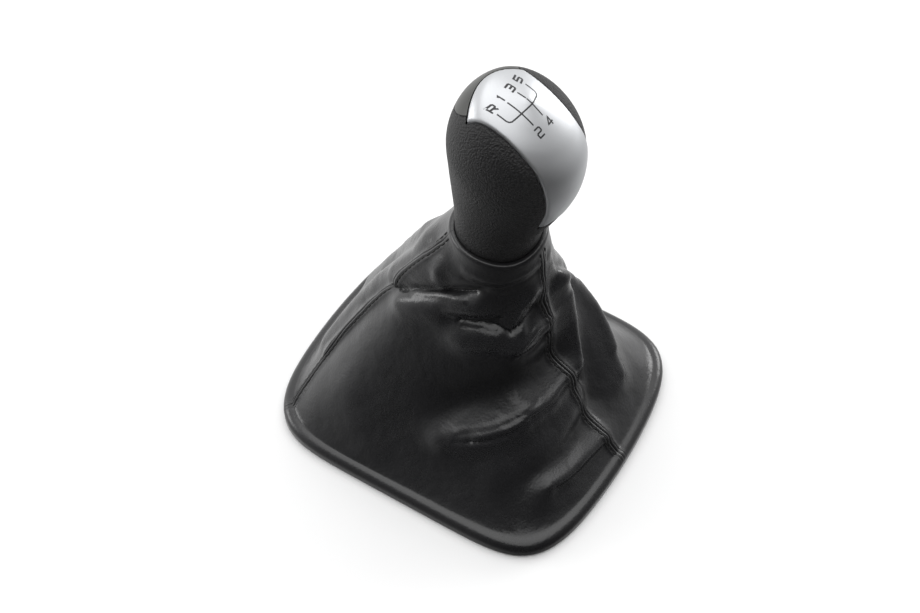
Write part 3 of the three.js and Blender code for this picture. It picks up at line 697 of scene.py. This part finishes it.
class Shader:
    """A material with one Principled shader."""

    def __init__(self, name, **constants):
        self.material = bpy.data.materials.new(name)
        self.material.use_nodes = True
        self.tree = self.material.node_tree
        self.principled = self.tree.nodes["Principled BSDF"]
        for socket, value in constants.items():
            self.principled.inputs[socket.replace("_", " ")].default_value = value
        self.place = self.node("ShaderNodeTexCoord", {}, output="Object")

    def node(self, kind, settings, *inputs, output=None):
        """A node of a kind, with its settings and then the values or links of its inputs."""
        node = self.tree.nodes.new(kind)
        for key, value in settings.items():
            setattr(node, key, value)
        enabled = [socket for socket in node.inputs if socket.enabled]
        for socket, value in zip(enabled, inputs):
            if isinstance(value, Value):
                self.tree.links.new(value.socket, socket)
            else:
                socket.default_value = value
        if output:
            return Value(self, node.outputs[output])
        return Value(self, next(socket for socket in node.outputs if socket.enabled))

    def noise(self, scale, detail, roughness=0.55, distortion=0.0):
        node = self.node("ShaderNodeTexNoise", {}, self.place, output="Fac")
        inputs = node.socket.node.inputs
        inputs["Scale"].default_value = scale
        inputs["Detail"].default_value = detail
        inputs["Roughness"].default_value = roughness
        inputs["Distortion"].default_value = distortion
        return node

    def cells(self, size):
        """Soft cells of a size in metres."""
        node = self.node("ShaderNodeTexVoronoi", {"feature": "SMOOTH_F1"}, self.place, output="Distance")
        node.socket.node.inputs["Scale"].default_value = 1 / size
        return node

    def attribute(self, name):
        return self.node("ShaderNodeAttribute", {"attribute_name": name}, output="Fac")

    def mixed(self, share, first, second):
        """A colour between two, both given as red, green and blue."""
        node = self.tree.nodes.new("ShaderNodeMix")
        node.data_type = "RGBA"
        self.tree.links.new(share.socket, node.inputs["Factor"])
        for socket, colour in ((node.inputs[6], first), (node.inputs[7], second)):
            if isinstance(colour, Value):
                self.tree.links.new(colour.socket, socket)
            else:
                socket.default_value = (*colour[:3], 1)
        return Value(self, node.outputs[2])

    def bump(self, height, distance, strength):
        node = self.tree.nodes.new("ShaderNodeBump")
        node.inputs["Strength"].default_value = strength
        node.inputs["Distance"].default_value = distance
        self.tree.links.new(height.socket, node.inputs["Height"])
        self.set("Normal", Value(self, node.outputs["Normal"]))

    def set(self, socket, value):
        self.tree.links.new(value.socket, self.principled.inputs[socket])


def shades(colour, dark, light):
    """Two shades of a colour."""
    return [tuple(min(1, share * c) for c in colour) for share in (dark, light)]


def leather_material(leather):
    shader = Shader("black_leather", Specular_IOR_Level=0.65)
    grain = shader.cells(leather.grain)
    pores = shader.noise(2.4 / leather.grain, detail=2.0)
    creases = shader.noise(170.0, detail=6.0, roughness=0.62, distortion=1.2)
    patches = shader.noise(28.0, detail=3.0)
    wear_and_shade = shader.attribute("wear_and_shade")
    groove_shade = shader.attribute("groove_shade")
    # Painted shade darkens the leather in creases and seam grooves; wear lightens it on what stands up
    tone = (patches * 0.35 + wear_and_shade * 0.75 - 0.1).clamped()
    hide = shader.mixed(tone, *shades(leather.colour, dark=0.55, light=1.6))
    # Painted shade: near black in the stitch grooves and the seam's valley
    shader.set("Base Color", shader.mixed((groove_shade * 0.6).clamped(), hide, (0.002, 0.002, 0.002)))
    shader.set("Roughness", (0.24 + patches * 0.12 + grain * 0.05 - wear_and_shade * 0.06 + groove_shade * 0.4).clamped())
    shader.bump(grain * 0.45 + pores * 0.15 + creases * 0.4, distance=0.00024, strength=0.55)
    return shader.material


def grip_material(knob):
    shader = Shader("pebbled_grip", Specular_IOR_Level=0.45)
    pebbles = shader.cells(knob.pebble)
    fine = shader.noise(2200.0, detail=3.0)
    patches = shader.noise(60.0, detail=3.0)
    # Painted highlight on the pebbles' tops and painted shade between them
    tone = ((1 - pebbles * 1.1) * 0.8 + patches * 0.4 - 0.2).clamped()
    shader.set("Base Color", shader.mixed(tone, *shades(knob.grip_colour, dark=0.5, light=1.5)))
    shader.set("Roughness", (0.5 + patches * 0.14).clamped())
    shader.bump((1 - pebbles) + fine * 0.25, distance=0.0004, strength=1.0)
    return shader.material


def moulded_material(name, colour, roughness, grain=1500.0, depth=0.00006):
    shader = Shader(name, Specular_IOR_Level=0.5)
    texture = shader.noise(grain, detail=3.0)
    patches = shader.noise(45.0, detail=4.0)
    shader.set("Base Color", shader.mixed(patches, *shades(colour, dark=0.8, light=1.2)))
    shader.set("Roughness", (roughness - 0.06 + patches * 0.12).clamped())
    shader.bump(texture, distance=depth, strength=0.6)
    return shader.material


def cap_material(knob):
    shader = Shader("satin_cap", Metallic=0.85, Specular_IOR_Level=0.5)
    flake = shader.noise(5200.0, detail=2.0)
    patches = shader.noise(50.0, detail=3.0)
    tone = (flake * 0.6 + patches * 0.4).clamped()
    shader.set("Base Color", shader.mixed(tone, *shades(knob.cap_colour, dark=0.9, light=1.06)))
    shader.set("Roughness", (0.34 + flake * 0.08 + patches * 0.05).clamped())
    shader.bump(flake, distance=0.000012, strength=0.5)
    return shader.material


def thread_material():
    shader = Shader("black_thread", Specular_IOR_Level=0.4)
    twist = shader.noise(3000.0, detail=2.0)
    shader.set("Base Color", shader.mixed(twist, (0.004, 0.004, 0.004), (0.018, 0.018, 0.018)))
    shader.set("Roughness", (0.55 + twist * 0.15).clamped())
    shader.bump(twist, distance=0.00008, strength=0.7)
    return shader.material


def steel_material():
    shader = Shader("staple_wire", Metallic=1.0)
    scratches = shader.noise(900.0, detail=4.0)
    shader.set("Base Color", shader.mixed(scratches, (0.42, 0.42, 0.43), (0.62, 0.62, 0.62)))
    shader.set("Roughness", (0.25 + scratches * 0.2).clamped())
    return shader.material


# Stitches

def stitch_tree(material):
    """A node tree that lays stitches along a chain of edges."""
    tree = bpy.data.node_groups.new("Stitches along a seam", "GeometryNodeTree")
    face = tree.interface
    face.new_socket("Geometry", in_out="INPUT", socket_type="NodeSocketGeometry")
    inputs = {}
    for name in ("Pitch", "Stitch length", "Thread radius"):
        inputs[name] = face.new_socket(name, in_out="INPUT", socket_type="NodeSocketFloat").identifier
    face.new_socket("Geometry", in_out="OUTPUT", socket_type="NodeSocketGeometry")
    start, curve, resample, tangent, turn, ball, shape, half, stretch, put, real, smooth, paint, end = [
        tree.nodes.new(kind) for kind in (
            "NodeGroupInput", "GeometryNodeMeshToCurve", "GeometryNodeResampleCurve",
            "GeometryNodeInputTangent", "FunctionNodeAlignRotationToVector", "GeometryNodeMeshUVSphere",
            "ShaderNodeCombineXYZ", "ShaderNodeMath", "GeometryNodeTransform",
            "GeometryNodeInstanceOnPoints", "GeometryNodeRealizeInstances", "GeometryNodeSetShadeSmooth",
            "GeometryNodeSetMaterial", "NodeGroupOutput",
        )
    ]
    resample.mode = "LENGTH"
    turn.axis = "X"
    for key, value in (("Segments", 8), ("Rings", 6), ("Radius", 1.0)):
        ball.inputs[key].default_value = value
    half.operation = "MULTIPLY"
    half.inputs[1].default_value = 0.5
    paint.inputs["Material"].default_value = material
    for source, output, target, entry in (
        (start, "Geometry", curve, "Mesh"),
        (curve, "Curve", resample, "Curve"),
        (start, "Pitch", resample, "Length"),
        (tangent, "Tangent", turn, "Vector"),
        (start, "Stitch length", half, 0),
        (half, 0, shape, "X"),
        (start, "Thread radius", shape, "Y"),
        (start, "Thread radius", shape, "Z"),
        (ball, "Mesh", stretch, "Geometry"),
        (shape, "Vector", stretch, "Scale"),
        (resample, "Curve", put, "Points"),
        (stretch, "Geometry", put, "Instance"),
        (turn, "Rotation", put, "Rotation"),
        (put, "Instances", real, "Geometry"),
        (real, "Geometry", smooth, "Geometry"),
        (smooth, "Geometry", paint, "Geometry"),
        (paint, "Geometry", end, "Geometry"),
    ):
        tree.links.new(source.outputs[output], target.inputs[entry])
    return tree, inputs


def seam_line(seam, offset, leather):
    """Points just on top of the leather beside a seam, from the base to the collar."""
    rows = leather_rows(SEAM_ROWS)
    line = []
    for j, (share, rise, at) in enumerate(rows):
        if not SEAM_ENDS[0] <= share <= SEAM_ENDS[1]:
            continue
        angle = np.array([seam_angle(seam, share)])
        middle = at(angle)
        angle = angle + offset / math.hypot(middle[0, 0], middle[0, 1] - COLLAR_Y)
        lift = LEATHER / 2 + rise * seam_height(abs(offset), leather.seam_rise / MM) + THREAD_LIFT
        line.append((at(angle) + row_normals(rows, j, angle) * lift)[0])
    return np.array(line)


# Sizes and colours that a user may change

class GaiterLeather(bpy.types.PropertyGroup):
    """Sizes and colour of the leather."""

    colour: bpy.props.FloatVectorProperty(
        name="Leather colour", description="Colour of the leather", default=(0.011, 0.011, 0.012),
        subtype="COLOR", min=0, max=1,
    )
    grain: bpy.props.FloatProperty(
        name="Grain", description="Size of the leather's grain", default=0.0011, unit="LENGTH",
    )
    seam_rise: bpy.props.FloatProperty(
        name="Seam rise", description="Height of the bands beside a seam", default=0.00095, unit="LENGTH",
    )
    pitch: bpy.props.FloatProperty(
        name="Stitch pitch", description="Distance from stitch to stitch", default=0.0034, unit="LENGTH",
    )
    stitch: bpy.props.FloatProperty(
        name="Stitch length", description="Length of one stitch", default=0.0026, unit="LENGTH",
    )
    thread: bpy.props.FloatProperty(
        name="Thread radius", description="Radius of the thread", default=0.0004, unit="LENGTH",
    )


class GaiterKnob(bpy.types.PropertyGroup):
    """Sizes and colours of the knob."""

    grip_colour: bpy.props.FloatVectorProperty(
        name="Grip colour", description="Colour of the grip's skin", default=(0.0125, 0.0125, 0.013),
        subtype="COLOR", min=0, max=1,
    )
    pebble: bpy.props.FloatProperty(
        name="Pebble", description="Size of the grip's pebbles", default=0.0007, unit="LENGTH",
    )
    shell_colour: bpy.props.FloatVectorProperty(
        name="Front shell colour", description="Colour of the front shell", default=(0.035, 0.036, 0.032),
        subtype="COLOR", min=0, max=1,
    )
    cap_colour: bpy.props.FloatVectorProperty(
        name="Cap colour", description="Colour of the satin cap", default=(0.55, 0.56, 0.575),
        subtype="COLOR", min=0, max=1,
    )
    cap_rise: bpy.props.FloatProperty(
        name="Cap rise", description="How far the cap stands proud", default=0.00035, unit="LENGTH",
    )
    cap_rim: bpy.props.FloatProperty(
        name="Cap rim", description="Radius of the cap's rounded rim", default=0.001, unit="LENGTH",
    )
    mark_width: bpy.props.FloatProperty(
        name="Line width", description="Width of the shift pattern's lines", default=0.00052, unit="LENGTH",
    )


class GaiterStage(bpy.types.PropertyGroup):
    """Floor and light."""

    floor_colour: bpy.props.FloatVectorProperty(
        name="Floor colour", description="Colour of the floor", default=(0.93, 0.93, 0.93),
        subtype="COLOR", min=0, max=1,
    )
    light: bpy.props.FloatProperty(
        name="Light", description="Level of the studio light", default=1.0,
    )


# Operators

def sheet_area(piece):
    """Area of one side of a closed sheet, in square metres."""
    return sum(face.area for face in piece.data.polygons) / 2


class GAITER_OT_leather(bpy.types.Operator):
    """Make the three leather panels of the gaiter"""

    bl_idname = "gaiter.leather"
    bl_label = "Leather panels"

    def execute(self, context):
        leather = context.scene.gaiter_leather
        material = leather_material(leather)
        panels = [
            ("left", FRONT_LEFT_SEAM, REAR_SEAM_AGAIN, WIDE_COLUMNS),
            ("right", REAR_SEAM, FRONT_RIGHT_SEAM, WIDE_COLUMNS),
            ("front", FRONT_RIGHT_SEAM, FRONT_LEFT_SEAM, FRONT_COLUMNS),
        ]
        for side, start, end, columns in panels:
            piece, flat = leather_panel(f"leather_{side}_panel", start, end, columns, leather, material)
            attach(piece, "root")
            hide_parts(f"gaiter_{side}_panel")
            area = sheet_area(piece)
        return {"FINISHED"}


class GAITER_OT_stitches(bpy.types.Operator):
    """Sew a row of stitches along each side of every seam"""

    bl_idname = "gaiter.stitches"
    bl_label = "Stitches"

    def execute(self, context):
        leather = context.scene.gaiter_leather
        material = thread_material()
        tree, inputs = stitch_tree(material)
        seams = (("rear", REAR_SEAM), ("front_right", FRONT_RIGHT_SEAM), ("front_left", FRONT_LEFT_SEAM))
        for name, seam in seams:
            lines = [seam_line(seam, side * STITCH_OFFSET, leather) for side in (-1, 1)]
            count = len(lines[0])
            edges = [(i, i + 1) for k in range(2) for i in range(k * count, (k + 1) * count - 1)]
            piece = plain_solid(f"stitches_{name}", np.concatenate(lines), [], edges)
            modifier = piece.modifiers.new("Stitches", "NODES")
            modifier.node_group = tree
            modifier[inputs["Pitch"]] = leather.pitch
            modifier[inputs["Stitch length"]] = leather.stitch
            modifier[inputs["Thread radius"]] = leather.thread
            apply_modifiers(piece)
            if not piece.data.materials:
                piece.data.materials.append(material)
            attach(piece, "root")
        return {"FINISHED"}


def front_region(gap):
    """The space over the front shell, which ends at a plane that falls towards the front."""
    middle_y, middle_z = COLLAR_Y + PARTING_Y + gap, head_level(PARTING_TOP_SHARE) + gap
    reach = 2 * HEAD_HALF_WIDTH
    side = [
        (middle_y - reach, middle_z + PARTING_FALL * reach),
        (middle_y + reach, middle_z - PARTING_FALL * reach),
        (middle_y + reach, middle_z + 2 * reach),
        (middle_y - reach, middle_z + 2 * reach),
    ]
    return prism("front_region", [(x, y, z) for x in (-reach, reach) for y, z in side])


def skin_inside():
    """A solid below the knob's skin."""
    return plain_solid("knob_inner", *knob_loft(SKIN, ring_steps=64, rows_each=4))


def dress(name, piece, node, material, sharp=32):
    """Give a cut piece its look and its body, and hide the solid that it stands for."""
    piece.name = name
    piece.data.name = name
    piece.data.materials.clear()
    piece.data.materials.append(material)
    piece.data.polygons.foreach_set("material_index", [0] * len(piece.data.polygons))
    piece.data.shade_smooth()
    piece.data.set_sharp_from_angle(angle=math.radians(sharp))
    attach(piece, "root")
    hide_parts(node)


class GAITER_OT_knob(bpy.types.Operator):
    """Make the knob's grip skin and its smooth front shell"""

    bl_idname = "gaiter.knob"
    bl_label = "Knob skin"

    def execute(self, context):
        knob = context.scene.gaiter_knob
        skin = plain_solid("knob_skin", *knob_loft(0, ring_steps=160, rows_each=8))
        inner = skin_inside()
        pocket = cap_cutter(CAP_GAP)
        boolean(skin, inner, "DIFFERENCE")
        boolean(skin, pocket, "DIFFERENCE")
        shell = plain_solid("front_shell", [], [])
        shell.data = skin.data.copy()
        for piece, operation, gap in ((skin, "DIFFERENCE", 0), (shell, "INTERSECT", CAP_GAP)):
            region = front_region(gap)
            boolean(piece, region, operation)
            remove(region)
        remove(inner, pocket)
        dress("grip_skin", skin, "knob_grip", grip_material(knob))
        smooth = moulded_material("front_shell_moulding", knob.shell_colour, roughness=0.4)
        dress("front_shell", shell, "knob_front_shell", smooth)
        return {"FINISHED"}


class GAITER_OT_cap(bpy.types.Operator):
    """Make the satin cap, with its rounded rim"""

    bl_idname = "gaiter.cap"
    bl_label = "Cap"

    def execute(self, context):
        knob = context.scene.gaiter_knob
        outer = knob_loft(0, ring_steps=240, rows_each=12)
        surface = surface_tree(*outer)
        cap = plain_solid("satin_cap", *outer)
        inner = skin_inside()
        cutter = cap_cutter(0)
        boolean(cap, inner, "DIFFERENCE")
        boolean(cap, cutter, "INTERSECT")
        remove(inner, cutter)
        count = len(cap.data.vertices)
        flat = np.empty(count * 3)
        cap.data.vertices.foreach_get("co", flat)
        points = flat.reshape(-1, 3) / MM
        rim = knob.cap_rim / MM
        inside = np.clip(rim - cap_depth(points), 0, rim)
        lift = knob.cap_rise / MM - rim + np.sqrt(rim**2 - inside**2)
        for i in range(count):
            _, normal, _, away = surface.find_nearest(Vector(points[i]))
            if away < ON_SURFACE:
                points[i] += np.array(normal) * lift[i]
        cap.data.vertices.foreach_set("co", (points * MM).ravel())
        dress("satin_cap", cap, "knob_cap", cap_material(knob), sharp=60)
        return {"FINISHED"}


# The shift gate's lines, and the turn of its outer line as places from a corner
GATE_PITCH = 5.6
GATE_MIDDLE = 19.2
GATE_TOP = 24.3
GATE_BOTTOM = 13.9
GATE_END = 0.6
GATE_TURN = ((0, 1.2), (0.4, 0.4), (1.2, 0))

# Digits: place across in pitches and in millimetres, place forward, and height of a third of the digit
DIGITS = (
    ("5", 1, 0, 26, 0.72),
    ("3", 0, 0, 26.4, 0.72),
    ("1", -1, 0, 26.2, 0.72),
    ("R", -2, 0.7, 25.6, 0.7),
    ("4", 0, 0.6, 10.8, 1.1),
    ("2", -1, 0, 10.8, 1.1),
)
DIGIT_MIDDLE = (1, 1.5)
DIGIT_WIDTH = 1.2
DIGIT_LINE = 1.1

# Ink below and above the cap's surface, the length of one piece of a line, and the sharpest mitre
INK_BELOW = -0.08
INK_ABOVE = 0.03
LINE_STEP = 0.5
LEAST_MITRE = 0.6

# Strokes of the digits, in a box 2 wide and 3 high
STROKES = {
    "1": [[(0.6, 2.5), (1.1, 3), (1.1, 0)]],
    "2": [[(0, 3), (1.7, 3), (2, 2.7), (2, 1.8), (1.7, 1.5), (0.3, 1.5), (0, 1.2), (0, 0), (2, 0)]],
    "3": [[(0, 3), (1.7, 3), (2, 2.7), (2, 0.3), (1.7, 0), (0, 0)], [(0.5, 1.5), (2, 1.5)]],
    "4": [[(1.5, 0), (1.5, 3), (0, 1), (2.2, 1)]],
    "5": [[(2, 3), (0, 3), (0, 1.6), (1.7, 1.6), (2, 1.3), (2, 0.3), (1.7, 0), (0, 0)]],
    "R": [[(0, 0), (0, 3), (1.7, 3), (2, 2.7), (2, 1.7), (1.7, 1.4), (0, 1.4)], [(1.0, 1.4), (2, 0)]],
}


def stroke_strip(tree, line, width, rise):
    """A thin closed strip laid on the knob along a line given square on to the cap."""
    dense = []
    for a, b in zip(line, line[1:]):
        a, b = np.array(a, float), np.array(b, float)
        parts = max(1, round(np.linalg.norm(b - a) / LINE_STEP))
        dense.extend(a + (b - a) * k / parts for k in range(parts))
    dense.append(np.array(line[-1], float))
    dense = np.array(dense)
    ahead = np.diff(dense, axis=0)
    ahead /= np.linalg.norm(ahead, axis=1, keepdims=True)
    turn = np.vstack([ahead[:1], ahead[:-1] + ahead[1:], ahead[-1:]])
    turn /= np.linalg.norm(turn, axis=1, keepdims=True)
    bend = np.clip((turn[1:-1] * ahead[1:]).sum(1), LEAST_MITRE, 1)
    half = np.concatenate([[1], 1 / bend, [1]])[:, None] * width / 2
    side = np.stack([-turn[:, 1], turn[:, 0]], -1) * half
    vertices, faces = [], []
    for left, right in zip(dense + side, dense - side):
        vertices += [surface_point(tree, *place, rise + INK_ABOVE) for place in (left, right)]
        vertices += [surface_point(tree, *place, rise + INK_BELOW) for place in (right, left)]
    for k in range(len(dense) - 1):
        a, b = 4 * k, 4 * k + 4
        for i in range(4):
            j = (i + 1) % 4
            faces.append((a + i, a + j, b + j, b + i))
    end = 4 * (len(dense) - 1)
    faces.append((3, 2, 1, 0))
    faces.append((end, end + 1, end + 2, end + 3))
    return vertices, faces


class GAITER_OT_shift_pattern(bpy.types.Operator):
    """Print the shift pattern's lines and digits on the cap"""

    bl_idname = "gaiter.shift_pattern"
    bl_label = "Shift pattern"

    def execute(self, context):
        knob = context.scene.gaiter_knob
        tree = surface_tree(*knob_loft(0, ring_steps=144, rows_each=8))
        lines = [[(across, GATE_TOP), (across, GATE_BOTTOM)] for across in (0, -GATE_PITCH)]
        right = [(GATE_PITCH - u, GATE_MIDDLE + v) for u, v in GATE_TURN]
        left = [(u - 2 * GATE_PITCH, GATE_MIDDLE + v) for u, v in GATE_TURN[::-1]]
        end = GATE_TOP - GATE_END
        lines.append([(GATE_PITCH, end), *right, *left, (-2 * GATE_PITCH, end)])
        width = knob.mark_width / MM
        widths = [width] * len(lines)
        middle_x, middle_y = DIGIT_MIDDLE
        for digit, pitches, shift, forward, tall in DIGITS:
            across = pitches * GATE_PITCH + shift
            for stroke in STROKES[digit]:
                lines.append([
                    (across + (x - middle_x) * DIGIT_WIDTH, forward + (y - middle_y) * tall)
                    for x, y in stroke
                ])
                widths.append(DIGIT_LINE * width)
        vertices, faces = [], []
        for line, width in zip(lines, widths):
            points, strip = stroke_strip(tree, line, width, knob.cap_rise / MM)
            offset = len(vertices)
            vertices.extend(points)
            faces.extend(tuple(offset + i for i in face) for face in strip)
        material = moulded_material("pattern_ink", (0.02, 0.02, 0.022), roughness=0.35)
        piece = smooth_mesh("shift_pattern", vertices, faces, material)
        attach(piece, "root")
        return {"FINISHED"}


class GAITER_OT_base(bpy.types.Operator):
    """Finish the frame, tie, lever sleeve, core and staples"""

    bl_idname = "gaiter.base"
    bl_label = "Frame and fittings"

    def execute(self, context):
        frame_look = moulded_material(
            "frame_moulding", (0.022, 0.022, 0.023), roughness=0.5, grain=900.0, depth=0.0001
        )
        nylon = moulded_material("black_nylon", (0.028, 0.028, 0.028), roughness=0.42)
        looks = {"base_frame": frame_look, "knob_core": nylon, "lever_sleeve": nylon, "gaiter_tie": nylon}
        steel = steel_material()
        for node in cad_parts:
            piece = bpy.data.objects.get(node)
            look = steel if node.startswith("hem_staple") else looks.get(node)
            if piece and look:
                for slot in piece.material_slots:
                    slot.material = look
        return {"FINISHED"}


# Floor, lights as (name, place, aim, size, power), the world's bright side, and the fitted camera
FLOOR_REACH = 3000
FLOOR_BELOW = -0.2
FLOOR_SPECKLE = 14.0
LIGHTS = (
    ("overhead", (-0.1, -0.1, 1.7), (-0.1, -0.1, 0.0), 2.6, 26),
    ("right_side", (1.3, -0.5, 0.45), (0.0, 0.0, 0.08), 0.6, 6.0),
    ("front_side", (-0.5, 1.3, 0.45), (0.0, 0.0, 0.08), 0.6, 4.0),
)
BRIGHT_SIDE = (0.64, 0.64, 0.1)
WORLD_LEVELS = {"From Min": -0.75, "From Max": 0.8, "To Min": 0.03, "To Max": 1.15}
CAMERA_LENS = 56.74
CAMERA_SENSOR = 36
CAMERA_CLIP = 0.01
CAMERA_PLACE = (-0.319219, -0.186420, 0.562643)
CAMERA_AZIMUTH = math.radians(-58.70)
CAMERA_ELEVATION = math.radians(53.41)


class GAITER_OT_stage(bpy.types.Operator):
    """Set the floor, the studio light and the camera"""

    bl_idname = "gaiter.stage"
    bl_label = "Stage"

    def execute(self, context):
        stage = context.scene.gaiter_stage
        floor_shader = Shader("pale_floor", Roughness=0.9, Specular_IOR_Level=0.1)
        speckle = floor_shader.noise(FLOOR_SPECKLE, detail=3.0)
        pale = shades(stage.floor_colour, dark=0.99, light=1)
        floor_shader.set("Base Color", floor_shader.mixed(speckle, *pale))
        around = ((-1, -1), (1, -1), (1, 1), (-1, 1))
        corners = [(x * FLOOR_REACH, y * FLOOR_REACH, FLOOR_BELOW) for x, y in around]
        floor = smooth_mesh("floor", corners, [(0, 1, 2, 3)], floor_shader.material)
        floor.visible_glossy = False
        self.world(context)
        for name, place, aim, size, power in LIGHTS:
            lamp = bpy.data.lights.new(name, "AREA")
            lamp.shape = "SQUARE"
            lamp.size = size
            lamp.energy = power * stage.light
            light = bpy.data.objects.new(name, lamp)
            light.location = place
            light.rotation_euler = (Vector(aim) - Vector(place)).to_track_quat("-Z", "Y").to_euler()
            context.collection.objects.link(light)
        self.camera(context)
        context.scene.view_settings.view_transform = "Standard"
        return {"FINISHED"}

    def world(self, context):
        """White to the camera, and a dark room with a bright side to all else."""
        world = bpy.data.worlds.new("studio")
        world.use_nodes = True
        context.scene.world = world
        tree = world.node_tree
        background = tree.nodes["Background"]
        background.inputs["Color"].default_value = (1, 1, 1, 1)
        path, place, side, ramp, seen, strength = [
            tree.nodes.new(f"ShaderNode{kind}")
            for kind in ("LightPath", "TexCoord", "VectorMath", "MapRange", "Math", "Math")
        ]
        seen.operation = strength.operation = "MAXIMUM"
        side.operation = "DOT_PRODUCT"
        side.inputs[1].default_value = BRIGHT_SIDE
        ramp.interpolation_type = "SMOOTHSTEP"
        for socket, value in WORLD_LEVELS.items():
            ramp.inputs[socket].default_value = value
        for source, output, target, entry in (
            (path, "Is Camera Ray", seen, 0),
            (path, "Is Transmission Ray", seen, 1),
            (place, "Generated", side, 0),
            (side, "Value", ramp, "Value"),
            (ramp, "Result", strength, 0),
            (seen, 0, strength, 1),
            (strength, 0, background, "Strength"),
        ):
            tree.links.new(source.outputs[output], target.inputs[entry])

    def camera(self, context):
        data = bpy.data.cameras.new("camera")
        data.sensor_fit = "HORIZONTAL"
        data.sensor_width = CAMERA_SENSOR
        data.lens = CAMERA_LENS
        data.clip_start = CAMERA_CLIP
        camera = bpy.data.objects.new("camera", data)
        level = math.cos(CAMERA_ELEVATION)
        ahead = Vector((
            -math.sin(CAMERA_AZIMUTH) * level, math.cos(CAMERA_AZIMUTH) * level, -math.sin(CAMERA_ELEVATION)
        ))
        camera.location = CAMERA_PLACE
        camera.rotation_euler = ahead.to_track_quat("-Z", "Y").to_euler()
        context.collection.objects.link(camera)
        context.scene.camera = camera


class GAITER_PT_panel(bpy.types.Panel):
    """Lists the gaiter's operators"""

    bl_idname = "GAITER_PT_panel"
    bl_label = "Gaiter"
    bl_space_type = "VIEW_3D"
    bl_region_type = "UI"
    bl_category = "Gaiter"

    def draw(self, context):
        for operator in OPERATORS:
            self.layout.operator(operator.bl_idname)
        for name in ("gaiter_leather", "gaiter_knob", "gaiter_stage"):
            group = getattr(context.scene, name)
            for key in group.__annotations__:
                self.layout.prop(group, key)


GROUPS = (("gaiter_leather", GaiterLeather), ("gaiter_knob", GaiterKnob), ("gaiter_stage", GaiterStage))
OPERATORS = (
    GAITER_OT_leather,
    GAITER_OT_stitches,
    GAITER_OT_knob,
    GAITER_OT_cap,
    GAITER_OT_shift_pattern,
    GAITER_OT_base,
    GAITER_OT_stage,
)


def register():
    for name, group in GROUPS:
        bpy.utils.register_class(group)
        setattr(bpy.types.Scene, name, bpy.props.PointerProperty(type=group))
    for operator in OPERATORS:
        bpy.utils.register_class(operator)
    bpy.utils.register_class(GAITER_PT_panel)


def unregister():
    bpy.utils.unregister_class(GAITER_PT_panel)
    for operator in reversed(OPERATORS):
        bpy.utils.unregister_class(operator)
    for name, group in reversed(GROUPS):
        delattr(bpy.types.Scene, name)
        bpy.utils.unregister_class(group)


def main():
    register()
    for operator in OPERATORS:
        family, name = operator.bl_idname.split(".")
        getattr(getattr(bpy.ops, family), name)()


if __name__ == "__main__":
    main()
